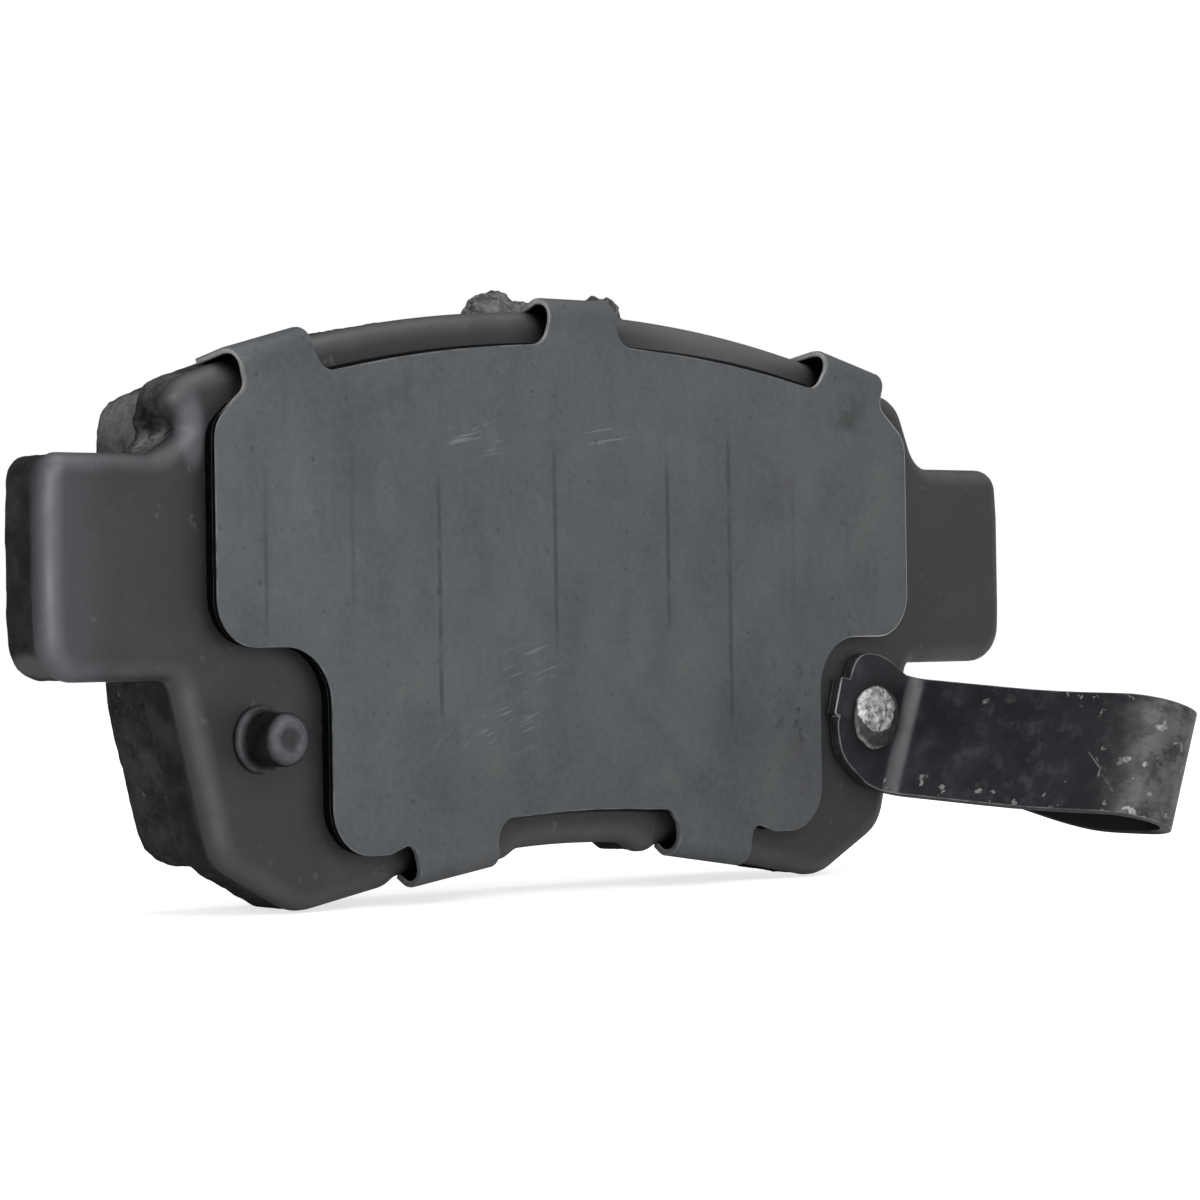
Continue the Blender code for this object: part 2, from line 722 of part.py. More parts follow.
def make_pivot(collection):
    """An empty on the leaf's hinge line, in the middle of the metal.

    Its x runs along the strip; the crease itself leans from its z by STRIP_LEAN.
    """
    pivot = bpy.data.objects.new("indicator_crease", None)
    collection.objects.link(pivot)
    pivot.empty_display_size = 5 * MM
    y = INDICATOR_FRONT + INDICATOR_THICKNESS / 2
    pivot.location = (CREASE_X * MM, y * MM, CREASE_Z * MM)
    pivot.rotation_euler = (0, radians(STRIP_TILT), 0)
    return pivot


def main():
    clear_scene()
    parts = new_collection("brake_pad")
    cutters = new_collection("cutters")
    painted = new_material("painted_plate", (0.048, 0.051, 0.054), 0.5, 0.2)
    lining = new_material("lining", (0.045, 0.043, 0.041), 0.95, 0.0)
    layer = new_material("lining_layer", (0.07, 0.065, 0.06), 0.95, 0.0)
    coated = new_material("coated_shim", (0.085, 0.095, 0.098), 0.6, 0.1)
    rubber = new_material("shim_coating", (0.03, 0.03, 0.032), 0.8, 0.0)
    dark_steel = new_material("dark_spring_steel", (0.03, 0.033, 0.04), 0.4, 0.6)
    bare_steel = new_material("hammered_steel", (0.42, 0.42, 0.4), 0.45, 0.9)
    make_plate(parts, cutters, painted)
    make_lining(parts, cutters, layer, lining)
    make_inner_shim(parts, rubber)
    make_outer_shim(parts, coated)
    make_locating_peg(parts, painted)
    make_indicator_rivet(parts, bare_steel)
    make_indicator_base(parts, cutters, dark_steel)
    make_indicator_leaf(parts, make_pivot(parts), dark_steel)


main()
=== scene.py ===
"""Looks of the disc brake pad, built round its CAD frame. Shapes are in mm, scaled by MM."""

from math import asin, cos, degrees, pi, radians, sin, sqrt

import bmesh
import bpy
import numpy as np
from mathutils import Matrix, Vector, noise


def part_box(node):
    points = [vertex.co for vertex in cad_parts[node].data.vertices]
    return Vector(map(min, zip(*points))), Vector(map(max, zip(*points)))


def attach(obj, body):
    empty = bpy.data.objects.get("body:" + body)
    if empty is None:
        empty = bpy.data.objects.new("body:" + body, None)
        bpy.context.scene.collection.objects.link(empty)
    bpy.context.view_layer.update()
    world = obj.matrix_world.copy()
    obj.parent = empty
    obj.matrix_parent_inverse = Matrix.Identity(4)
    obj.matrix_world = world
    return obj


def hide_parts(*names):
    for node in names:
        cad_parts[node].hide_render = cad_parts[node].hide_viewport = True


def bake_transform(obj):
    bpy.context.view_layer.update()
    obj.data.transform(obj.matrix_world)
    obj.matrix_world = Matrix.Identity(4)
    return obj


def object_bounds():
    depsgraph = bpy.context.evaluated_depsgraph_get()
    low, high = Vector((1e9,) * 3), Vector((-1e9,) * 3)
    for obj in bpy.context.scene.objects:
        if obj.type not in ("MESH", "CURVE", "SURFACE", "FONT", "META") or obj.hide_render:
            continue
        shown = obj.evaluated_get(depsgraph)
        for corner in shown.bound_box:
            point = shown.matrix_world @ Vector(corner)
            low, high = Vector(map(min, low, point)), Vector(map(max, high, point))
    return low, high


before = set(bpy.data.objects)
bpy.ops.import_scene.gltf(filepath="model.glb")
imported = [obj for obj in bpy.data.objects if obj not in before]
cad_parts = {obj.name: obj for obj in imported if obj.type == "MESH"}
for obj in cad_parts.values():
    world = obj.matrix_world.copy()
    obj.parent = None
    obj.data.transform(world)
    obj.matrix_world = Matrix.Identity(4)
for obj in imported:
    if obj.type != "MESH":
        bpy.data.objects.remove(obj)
CAD_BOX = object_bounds()
scene = bpy.context.scene

MM = 0.001

# The CAD's own depths, read from the frame
PLATE_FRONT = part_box("backing_plate")[0].y / MM
PLATE_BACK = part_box("backing_plate")[1].y / MM
LAYER_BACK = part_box("lining_underlayer")[1].y / MM
BLOCK_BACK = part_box("friction_block")[1].y / MM
INDICATOR_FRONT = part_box("wear_indicator_base")[0].y / MM

# The CAD's outlines, repeated
ROTOR_CENTRE_Z = -102.8
PLATE_TOP_RADIUS = 122.2
TOP_ARC_END_X = 32.6
# Corners as their x and radius
RIGHT_SHOULDER = (37.6, 3.2)
RIGHT_EAR_ROOT = (39.9, 2.8)
LEFT_SHOULDER = (38.5, 2.7)
LEFT_EAR_ROOT = (38.3, 2.3)
# Places and sizes
EAR_HALF_LENGTH = 50.0
EAR_HALF_HEIGHT = 8.0
LOW_EDGE_Z = -21.9
LOW_EDGE_RADIUS = 108.0
ARCH_TOP_Z = -21.2
ARCH_RADIUS = 94.0
ARCH_CENTRE_Z = ARCH_TOP_Z - ARCH_RADIUS
NOTCH_FLOOR_X = 5.6
NOTCH_EDGE_X = 6.9
RECESS_START_X = 8.3
RECESS_FLOOR_START_X = 9.2
RECESS_FLOOR_END_X = 17.9
RECESS_END_X = 18.9
LOBE_X = 27.5
LOBE_Z = -25.1
SIDE_TOP_X = 38.4
SIDE_BOTTOM_X = 35.5
SIDE_BOTTOM_Z = -18.7
PEG_X = -31.3
RIVET_X = 32.35
PIN_Z = -12.35
LINING_INSET_TOP = 1.6
LINING_CORNER_X = 36.0
LINING_SIDE_X = 35.4
LINING_LOW_X = 32.1
LINING_LOW_Z = -21.8
SLOT_HALF_WIDTH = 1.25
SLOT_DEPTH = 4.8
FACE_CHAMFER = 0.7
SHIM_THICKNESS = 0.5
SHIM_HALF_WIDTH = 36.2
SHIM_STEP_Z = -5.8
SHIM_LOW_HALF_WIDTH = 25.7
SHIM_BOTTOM_Z = -21.1
SHIM_SHOULDER_Z = 10.2
SHIM_FOOT_X = 20.3
SLOT_INSET = 2.6
SLOT_END_ROOM = 2.8
STUB_INSET = 0.9
TAB_FLARE = 0.6
TOP_TAB_HALF_WIDTH = 3.4
CENTRE_TAB_WRAP = 3.4
SIDE_TAB_WRAP = 5.2
SIDE_TAB_ANGLE = 14.4
BOTTOM_TAB_X = 13.4
BOTTOM_TAB_HALF_WIDTH = 4.0
BOTTOM_TAB_WRAP = 2.9
CREASE_X = 34.5
CREASE_Z = -13.6
STRIP_TILT = 15.7
STRIP_LEAN = 0.09
STRIP_WIDTH = 9.9
TONGUE_WIDTH = 5.6
TAPER_SHARE = 0.9
STRIP_THICKNESS = 0.9

# Of the visual model alone
ROLL_WIDTH = 1.56  # the plate's rolled front edge, across its face
ROLL_DEPTH = 1.5  # and down its side
SHEET_CORNER = 0.09  # bevel on the cut edges of sheets
SLOT_CUTTER_HEIGHT = 0.08  # in metres, well past the lining
SHIM_SWELL = 0.25  # how far the inner shim is widened into a dark band of painted shade
SAME_PLACE = 0.001  # corners closer than this are one

# How fine the meshes are: turns of an arc in degrees, and spacings
FINE_ARC = 7.0
STRIP_ARC = 5.0
PLATE_SPACING = 0.4
LINING_SPACING = 0.42
STRIP_SPACING = 0.5
STRIP_COLUMNS = 14
TURN_STEPS = 72


# ---- camera and studio

CAMERA_PLACE = Vector((-0.23609, -0.24609, -0.00487))
CAMERA_FORWARD = Vector((0.69374, 0.72020, 0.00614)).normalized()
CAMERA_UP = Vector((0.00699, -0.01525, 0.99986))
LENS = 134.4
SENSOR = 36.0
SHIFT_X = 0.0025
SHIFT_Y = 0.0017
CLIP_START = 0.01
CLIP_END = 20.0
SOFT_LIGHT_FROM = (0.25, -0.8, 0.55)
SOFT_LIGHT_LOW = 0.05
SOFT_LIGHT_HIGH = 0.5
FLOOR_HALF = 3.0
FLOOR_DROP = 0.0002
FLOOR_GREY = 0.8
FLOOR_GLOW = 0.72
WHITE = (1.0, 1.0, 1.0, 1.0)
# Name, place, target, size and power
LIGHTS = (
    ("key", (-0.1, -0.8, 0.5), (0, 0, 0), (0.5, 0.35), 2.6),
    ("side", (-0.56, -0.52, 0.1), (-0.02, 0, 0), (0.3, 0.45), 3.5),
    ("top", (0.1, -0.1, 0.8), (0, 0, 0), (0.6, 0.6), 2.4),
)


def adjusted(thing, **settings):
    for key, value in settings.items():
        setattr(thing, key, value)
    return thing


def placed(name, data):
    made = bpy.data.objects.new(name, data)
    scene.collection.objects.link(made)
    return made


def make_camera():
    data = adjusted(bpy.data.cameras.new("camera"), lens=LENS, sensor_width=SENSOR,
                    shift_x=SHIFT_X, shift_y=SHIFT_Y, clip_start=CLIP_START, clip_end=CLIP_END)
    camera = placed("camera", data)
    back = -CAMERA_FORWARD
    right = CAMERA_UP.cross(back).normalized()
    up = back.cross(right)
    turn = Matrix((right, up, back)).transposed().to_4x4()
    camera.matrix_world = Matrix.Translation(CAMERA_PLACE) @ turn
    scene.camera = camera


def area_light(name, place, target, size, power):
    data = adjusted(bpy.data.lights.new(name, "AREA"), shape="RECTANGLE", size=size[0],
                    size_y=size[1], energy=power)
    light = adjusted(placed(name, data), location=place, rotation_mode="QUATERNION")
    light.rotation_quaternion = (Vector(target) - light.location).to_track_quat("-Z", "Y")


def make_sky():
    """Soft light, strongest from one side; what the camera sees of it is plain white."""
    world = bpy.data.worlds.new("studio")
    scene.world = world
    world.use_nodes = True
    nodes = Nodes(world.node_tree)
    way = nodes.node("TexCoord").outputs["Generated"]
    lean = nodes.vector("DOT_PRODUCT", way, Vector(SOFT_LIGHT_FROM).normalized(), "Value")
    spread = nodes.band(lean, -1.0, 1.0, SOFT_LIGHT_LOW, SOFT_LIGHT_HIGH)
    seen = nodes.node("LightPath").outputs["Is Camera Ray"]
    sky = nodes.tree.nodes["Background"]
    nodes.feed(sky.inputs["Color"], WHITE)
    nodes.feed(sky.inputs["Strength"], nodes.blend(seen, spread, 1.0))


def make_studio():
    make_sky()
    floor_z = CAD_BOX[0].z - FLOOR_DROP
    corners = [(x * FLOOR_HALF, y * FLOOR_HALF, floor_z)
               for x, y in ((-1, -1), (1, -1), (1, 1), (-1, 1))]
    mesh = bpy.data.meshes.new("floor")
    mesh.from_pydata(corners, [], [(0, 1, 2, 3)])
    floor = placed("floor", mesh)
    look = Look("pale_floor")
    look.shader.inputs["Emission Color"].default_value = WHITE
    seen = look.node("LightPath").outputs["Is Camera Ray"]
    mesh.materials.append(look.finished(color=rgba(FLOOR_GREY), roughness=0.8,
                                        glow=look.times(seen, FLOOR_GLOW)))
    for light in LIGHTS:
        area_light(*light)


# ---- materials

SOCKETS = {
    "color": "Base Color",
    "roughness": "Roughness",
    "metallic": "Metallic",
    "specular": "Specular IOR Level",
    "glow": "Emission Strength",
}


def rgba(value):
    """A colour with its alpha: from one number for a grey, or from three."""
    if isinstance(value, float):
        value = (value,) * 3
    return (*value, 1.0) if isinstance(value, tuple) else value


class Nodes:
    """Short calls for the nodes of a tree."""

    def __init__(self, tree):
        self.tree = tree

    def node(self, kind, inputs=None, **settings):
        made = adjusted(self.tree.nodes.new("ShaderNode" + kind), **settings)
        for key, value in (inputs or {}).items():
            self.feed(made.inputs[key], value)
        return made

    def feed(self, socket, value):
        if isinstance(value, bpy.types.NodeSocket):
            self.tree.links.new(value, socket)
        else:
            socket.default_value = value

    def math(self, operation, first, second):
        return self.node("Math", {0: first, 1: second}, operation=operation).outputs[0]

    def most(self, first, second):
        return self.math("MAXIMUM", first, second)

    def times(self, first, *others):
        for other in others:
            first = self.math("MULTIPLY", first, other)
        return first

    def vector(self, operation, first, second=(0.0, 0.0, 0.0), output="Vector"):
        made = self.node("VectorMath", {0: first, 1: second}, operation=operation)
        return made.outputs[output]

    def split(self, place):
        return tuple(self.node("SeparateXYZ", {0: place}).outputs)

    def band(self, value, start, end, low=0.0, high=1.0):
        """Smooth change from low to high as value goes from start to end."""
        made = self.node("MapRange", {
            "Value": value, "From Min": start, "From Max": end, "To Min": low, "To Max": high},
            interpolation_type="SMOOTHSTEP")
        return made.outputs["Result"]

    def within(self, value, low, high, soft):
        """One between low and high, falling to zero over soft on both sides."""
        return self.times(self.band(value, low - soft, low),
                          self.band(value, high, high + soft, 1.0, 0.0))

    def mix(self, factor, first, second):
        return self.node("Mix", {0: factor, 6: rgba(first), 7: rgba(second)},
                         data_type="RGBA").outputs[2]

    def tones(self, value, start, end, dark, light):
        """From a dark to a light colour as value goes from start to end."""
        return self.mix(self.band(value, start, end), dark, light)

    def layers(self, base, *layers):
        """Lay colours over a base in turn; each layer is its share and its colour."""
        for share, color in layers:
            base = self.mix(share, base, color)
        return base

    def blend(self, factor, first, second):
        return self.node("Mix", {0: factor, 2: first, 3: second},
                         data_type="FLOAT").outputs[0]


class Look(Nodes):
    """A principled material; patches and bumps are given in mm, everything else in metres."""

    def __init__(self, name):
        self.material = bpy.data.materials.new(name)
        self.material.use_nodes = True
        super().__init__(self.material.node_tree)
        self.shader = self.tree.nodes["Principled BSDF"]
        self.place = self.node("TexCoord").outputs["Object"]
        self.x, _, self.z = self.split(self.place)

    def stretched(self, scale, turn=0.0, move=(0.0, 0.0, 0.0)):
        """The place, turned about Y, stretched along its axes and then moved."""
        turned = self.node("VectorRotate", {"Vector": self.place, "Angle": turn},
                           rotation_type="Y_AXIS").outputs[0]
        return self.vector("ADD", self.vector("MULTIPLY", turned, scale), move)

    def noise(self, scale, detail=3.0, roughness=0.5, place=None, distortion=0.0):
        return self.node("TexNoise", {
            "Scale": scale, "Detail": detail, "Roughness": roughness,
            "Distortion": distortion, "Vector": place or self.place}).outputs[0]

    def cells(self, scale):
        return self.node("TexVoronoi",
                         {"Scale": scale, "Vector": self.place}).outputs["Distance"]

    def patch(self, centre, reach, soft, strength=1.0):
        """Strength at a place, falling to zero at an ellipsoid's surface; in mm."""
        moved = self.vector("SUBTRACT", self.place, [value * MM for value in centre])
        scaled = self.vector("DIVIDE", moved, [value * MM for value in reach])
        length = self.vector("LENGTH", scaled, output="Value")
        return self.band(length, 1.0 - soft, 1.0, strength, 0.0)

    def distance(self, centre_z):
        """Distance from a point on the pad's centre line, measured square to Y."""
        level = self.node("CombineXYZ", {0: self.x, 2: self.z}).outputs[0]
        return self.vector("DISTANCE", level, (0.0, 0.0, centre_z * MM), "Value")

    def mask(self, name):
        return self.node("Attribute", attribute_name=name).outputs["Fac"]

    def flat_place(self):
        return self.node("UVMap", uv_map="flat").outputs[0]

    def finished(self, bumps=(), **values):
        """Feed the shader, stack its bumps (height and depth in mm) and give the material."""
        for key, value in values.items():
            self.feed(self.shader.inputs[SOCKETS[key]], value)
        normal = None
        for height, depth in bumps:
            made = self.node("Bump",
                             {"Height": height, "Strength": 1.0, "Distance": depth * MM})
            if normal is not None:
                self.feed(made.inputs["Normal"], normal)
            normal = made.outputs["Normal"]
        if normal is not None:
            self.feed(self.shader.inputs["Normal"], normal)
        return self.material


def shade_under_tabs(look):
    """One on the plate inside each folded hook: painted shade, where the hook keeps the light out.
    """
    hidden = 0.0
    for middle, outward, half_width, _ in tab_places():
        place = middle + outward * 0.6
        shade = look.patch((place.x, 2.2, place.y), (half_width + 1.5, 5.0, 3.6), 0.4)
        hidden = look.most(hidden, shade)
    return hidden


# Painted light and shade on the torn left shoulder, dark in its hollow and light on its lumps:
# centre, reach, softness, dark and light tone of each part
TORN_LIGHT_AND_SHADE = (
    ((-38.2, 4.0, 13.6), (3.4, 4.0, 2.4), 0.5, (0.03, 0.031, 0.033), (0.08, 0.082, 0.088)),
    ((-38.8, 3.8, 10.6), (3.0, 3.6, 1.8), 0.45, 0.002, (0.04, 0.04, 0.041)),
    ((-38.8, 4.0, 8.9), (3.2, 3.4, 1.5), 0.6, (0.02, 0.02, 0.021), (0.16, 0.162, 0.166)),
)


def dark_gap_lines(look):
    """Dark lines on the plate in the gap along its edge, between the shim's tabs."""
    shift = look.band(look.x, 0.0, 0.022, 0.0, 0.00042)
    top = look.math("SUBTRACT", look.distance(ROTOR_CENTRE_Z), shift)
    low = look.distance(ARCH_CENTRE_Z)
    lines = []
    for reached, start, end, half_length in (
            (top, PLATE_TOP_RADIUS - SLOT_INSET - 0.5, PLATE_TOP_RADIUS - SLOT_INSET + 0.14, 0.026),
            (low, ARCH_RADIUS + SLOT_INSET - 0.14, ARCH_RADIUS + SLOT_INSET + 0.3, 0.009)):
        lines.append(look.times(look.within(reached, start * MM, end * MM, 0.0001),
                                look.within(look.x, -half_length, half_length, 0.0005)))
    return look.times(look.most(*lines), look.band(look.z, 0.0, 0.001, 0.6, 0.85))


def paint_look():
    """Satin black paint, rougher and bare of sheen where the plate was sheared, with painted
    highlights on its rolled edges and painted shade inside the hooks.
    """
    look = Look("plate_paint")
    wall = look.mask("wall")
    broad = look.noise(55.0, 4.0, 0.6)
    patches = look.noise(330.0, 4.0, 0.6)
    # Painted highlight on the rolled edge, carried by the edge mask, broken up by noise and
    # strongest at the left ear's end.
    roll_highlight = look.times(look.mask("edge"),
                      look.band(look.noise(420.0, 4.0, 0.6), 0.3, 0.65, 0.6, 1.0),
                      look.band(look.x, -0.0475, -0.044, 0.9, 0.42))
    face = look.layers(
        look.tones(broad, 0.3, 0.7, (0.011, 0.0115, 0.013), (0.016, 0.0166, 0.0182)),
        (look.band(patches, 0.5, 0.7, 0.0, 0.5), (0.024, 0.0247, 0.027)),
        (look.band(look.noise(900.0, 3.0, 0.6), 0.66, 0.72, 0.0, 0.35), 0.09),
        # Painted highlights: towards the left ear's end, on the rolled edge, on the top edge right
        # of the middle and on the left shoulder's rolled edge
        (look.band(look.x, -0.0485, -0.0435, 0.5, 0.0), (0.05, 0.053, 0.061)),
        (roll_highlight, (0.1, 0.104, 0.118)),
        (look.patch((16.5, 2.4, 17.6), (13.0, 2.4, 4.6), 0.6, 0.7), (0.075, 0.077, 0.081)),
        (look.patch((-37.0, 1.7, 9.6), (1.5, 1.6, 3.4), 0.6, 0.7), (0.105, 0.108, 0.12)),
    )
    torn = look.band(look.noise(900.0, 4.0, 0.6), 0.35, 0.65)
    sheared = look.tones(patches, 0.35, 0.7, (0.006, 0.006, 0.0065), (0.026, 0.026, 0.027))
    # Painted light and shade on the torn left shoulder
    for centre, reach, soft, dark, light in TORN_LIGHT_AND_SHADE:
        sheared = look.mix(look.patch(centre, reach, soft), sheared, look.mix(torn, dark, light))
    # Painted highlight on the lower corner of the left ear's end
    ear_corner_highlight = look.patch((-49.6, 4.5, -7.2), (2.2, 3.5, 1.5), 0.5, 0.8)
    sheared = look.mix(ear_corner_highlight, sheared, (0.09, 0.09, 0.093))
    # Painted shade inside the hooks, together with the dark lines along the plate's edge; both lose
    # their sheen
    gap_lines_and_tab_shade = look.most(dark_gap_lines(look), look.times(shade_under_tabs(look), 0.97))
    satin = look.band(look.noise(140.0, 3.0), 0.3, 0.7, 0.44, 0.56)
    return look.finished(
        color=look.mix(gap_lines_and_tab_shade, look.mix(wall, face, sheared), 0.0015),
        roughness=look.blend(look.most(wall, gap_lines_and_tab_shade), satin, 0.85),
        specular=look.times(look.blend(wall, 0.7, 0.25), look.blend(gap_lines_and_tab_shade, 1.0, 0.0)),
        bumps=((broad, 0.12), (look.noise(420.0, 3.0, 0.55), 0.03),
               (look.noise(2600.0, 2.0), 0.012),
               (look.times(look.noise(1100.0, 4.0, 0.65), wall), 0.2)))


def lining_look():
    """Pressed friction material: charcoal with fibres, grains and pale metal specks."""
    look = Look("lining")
    lumps = look.noise(420.0, 4.0, 0.65)
    fine = look.noise(2400.0, 3.0, 0.6)
    pale = look.band(look.noise(1500.0, 2.0, 0.5, distortion=0.6), 0.68, 0.74)
    base = look.layers(
        look.tones(lumps, 0.35, 0.68, 0.013, (0.038, 0.037, 0.036)),
        (look.band(fine, 0.5, 0.75, 0.0, 0.5), (0.062, 0.061, 0.06)),
        (look.times(pale, 0.6), (0.18, 0.178, 0.175)),
        (look.band(look.noise(260.0, 3.0), 0.62, 0.74, 0.0, 0.25), (0.06, 0.048, 0.04)),
    )
    dusty = look.times(look.patch((-35.5, 10.0, 12.0), (4.0, 8.0, 6.0), 0.7),
                       look.band(lumps, 0.28, 0.46, 0.25, 1.0))
    return look.finished(color=look.mix(dusty, base, look.mix(fine, 0.045, 0.175)),
                         roughness=look.blend(pale, 0.93, 0.5), specular=0.25,
                         bumps=((lumps, 0.3), (look.cells(1300.0), 0.16), (fine, 0.08)))


def flash_look():
    """Lining squeezed out of the mould: dusty grey crumbs with dark pits."""
    look = Look("lining_flash")
    lumps = look.noise(700.0, 4.0, 0.65)
    fine = look.noise(2400.0, 3.0, 0.6)
    base = look.tones(lumps, 0.35, 0.62, 0.03, 0.14)
    return look.finished(color=look.mix(look.band(fine, 0.5, 0.7, 0.0, 0.6), base, 0.2),
                         roughness=0.9, specular=0.25,
                         bumps=((lumps, 0.25), (look.cells(1300.0), 0.12), (fine, 0.06)))


def friction_look():
    """The rubbing face: the same material ground flat, with fine straight grinding lines."""
    look = Look("lining_ground")
    lines = look.noise(1.0, 4.0, 0.6, look.stretched((60.0, 400.0, 1900.0)))
    mottle = look.noise(650.0, 4.0, 0.65)
    copper = look.noise(1250.0, 2.0, 0.5, look.stretched((1.0, 1.0, 1.0), 0.0, (3.0, 1.0, 2.0)))
    color = look.layers(
        look.tones(mottle, 0.35, 0.7, (0.035, 0.034, 0.034), (0.085, 0.082, 0.08)),
        (look.band(lines, 0.45, 0.7, 0.0, 0.45), (0.13, 0.127, 0.122)),
        (look.band(look.noise(1700.0, 2.0, 0.5), 0.68, 0.73), (0.34, 0.33, 0.31)),
        (look.band(copper, 0.71, 0.75), (0.36, 0.2, 0.12)),
    )
    return look.finished(color=color, roughness=look.blend(lines, 0.85, 0.65), specular=0.3,
                         bumps=((mottle, 0.05), (lines, 0.03), (look.cells(1500.0), 0.03)))


def underlayer_look():
    look = Look("lining_layer")
    fibres = look.noise(900.0, 5.0, 0.7, look.stretched((1.0, 2.5, 1.0)))
    base = look.tones(fibres, 0.35, 0.7, 0.02, (0.06, 0.056, 0.052))
    crumbs = look.band(look.noise(520.0, 3.0, 0.6), 0.66, 0.72)
    return look.finished(color=look.mix(crumbs, base, (0.26, 0.25, 0.24)),
                         roughness=0.95, specular=0.2,
                         bumps=((fibres, 0.2), (look.cells(1200.0), 0.1)))


# Upright marks left by the press: x, lower end, upper end, strength
UPRIGHT_LINES = (
    (-31.7, -3.0, 5.0, 0.5),
    (-23.5, -2.0, 6.5, 0.35),
    (-15.1, -9.5, 4.6, 0.75),
    (-3.3, -4.4, 7.0, 0.8),
    (8.7, -3.0, 6.0, 0.75),
    (15.5, -10.5, 9.0, 0.7),
    (22.8, -2.0, 5.0, 0.3),
)
# x, z, half width, half height, strength
SMUDGES = (
    (-20.5, 11.5, 3.6, 3.0, 0.5),
    (-18.0, 12.5, 1.6, 3.4, 0.45),
    (29.5, 12.0, 3.4, 3.2, 0.85),
    (21.5, 6.0, 3.0, 6.0, 0.35),
    (16.0, -12.0, 5.0, 4.0, 0.3),
    (7.0, 14.0, 5.0, 2.0, 0.25),
    (23.0, -13.0, 3.0, 6.0, 0.35),
    (-33.5, 9.5, 1.6, 3.0, 0.35),
)
# x, z, half width, half height, turn in degrees
SCUFFS = (
    (-10.8, 9.5, 5.2, 1.6, 10.0),
    (-5.5, -7.4, 4.6, 2.0, 16.0),
    (-8.2, -11.6, 4.4, 3.0, 19.0),
    (2.3, 9.8, 3.2, 1.2, 6.0),
    (-14.0, -12.5, 2.6, 1.6, 40.0),
)
MARK_DEPTH = 6.0  # how far a mark reaches along Y


def shim_marks(look):
    """Shares and colours of the shim's lines, smudges, scuffs, specks and dirt."""
    broken = look.band(look.noise(420.0, 3.0, 0.6), 0.3, 0.56, 0.25, 1.0)
    for place, low, high, strength in UPRIGHT_LINES:
        yield look.times(look.within(look.x, (place - 0.1) * MM, (place + 0.1) * MM, 0.0002),
                         look.within(look.z, low * MM, high * MM, 0.003),
                         broken, strength), (0.03, 0.034, 0.036)
    blotchy = look.band(look.noise(420.0, 4.0, 0.65), 0.38, 0.62)
    for x, z, wide, high, strength in SMUDGES:
        smudge = look.patch((x, 0.0, z), (wide, MARK_DEPTH, high), 0.9, strength)
        yield look.times(smudge, blotchy), (0.03, 0.032, 0.034)
    for x, z, wide, high, turn in SCUFFS:
        marks = look.noise(1.0, 2.0, 0.5, look.stretched((230.0, 300.0, 3600.0), radians(turn)))
        scuff = look.patch((x, 0.0, z), (wide, MARK_DEPTH, high), 0.5, 0.6)
        yield look.times(scuff, look.band(marks, 0.56, 0.66)), (0.17, 0.176, 0.178)
    hair = look.noise(1.0, 2.0, 0.5, look.stretched((55.0, 300.0, 3000.0), radians(-28.0)))
    yield look.band(hair, 0.72, 0.78, 0.0, 0.1), (0.15, 0.155, 0.16)
    more = look.patch((22.0, 0.0, -9.0), (13.0, 9.0, 15.0), 0.8)
    yield look.times(look.band(look.noise(1350.0, 2.0, 0.5), 0.67, 0.72),
                     look.band(more, 0.0, 1.0, 0.55, 1.0), 0.8), (0.014, 0.015, 0.016)
    yield look.times(look.patch((22.5, 0.0, -11.5), (5.0, MARK_DEPTH, 6.5), 0.8, 0.6),
                     look.band(look.noise(760.0, 3.0, 0.6), 0.56, 0.63)), (0.018, 0.019, 0.02)


def shim_look():
    """Grey coating, cloudy and marked by the press and by handling, with painted shade towards the
    bottom and the top edge.
    """
    look = Look("shim_coating")
    clouds = look.noise(38.0, 5.0, 0.6)
    blots = look.noise(230.0, 4.0, 0.6, look.stretched((1.0, 1.0, 0.7)))
    tint = look.noise(75.0, 3.0, 0.55, look.stretched((1.0, 1.0, 1.0), 0.0, (0.3, 0.0, 0.1)))
    color = look.layers(
        look.tones(clouds, 0.3, 0.7, (0.058, 0.065, 0.069), (0.076, 0.0825, 0.0865)),
        (look.band(look.noise(115.0, 4.0, 0.6), 0.5, 0.62, 0.0, 0.4), (0.045, 0.051, 0.057)),
        (look.band(blots, 0.48, 0.7, 0.0, 0.6), (0.047, 0.053, 0.06)),
        (look.band(blots, 0.3, 0.46, 0.5, 0.0), (0.096, 0.1, 0.102)),
        (look.band(tint, 0.46, 0.62, 0.0, 0.35), (0.076, 0.078, 0.088)),
        (look.band(tint, 0.36, 0.5, 0.3, 0.0), (0.062, 0.074, 0.08)),
        # Painted shade: darker towards the bottom and, less strongly, towards the top edge
        (look.band(look.z, -0.006, -0.021, 0.0, 0.28), (0.03, 0.033, 0.036)),
        (look.band(look.z, 0.009, 0.017, 0.0, 0.15), (0.03, 0.033, 0.036)),
        (look.band(look.noise(1800.0, 2.0), 0.35, 0.65, 0.0, 0.2), (0.105, 0.112, 0.116)),
        *shim_marks(look),
    )
    return look.finished(
        color=color, specular=0.4,
        roughness=look.band(look.noise(95.0, 4.0, 0.6), 0.3, 0.7, 0.5, 0.64),
        bumps=((look.noise(26.0, 2.0), 0.35), (clouds, 0.08), (look.noise(900.0, 3.0), 0.01),
               (look.noise(3200.0, 2.0), 0.006)))


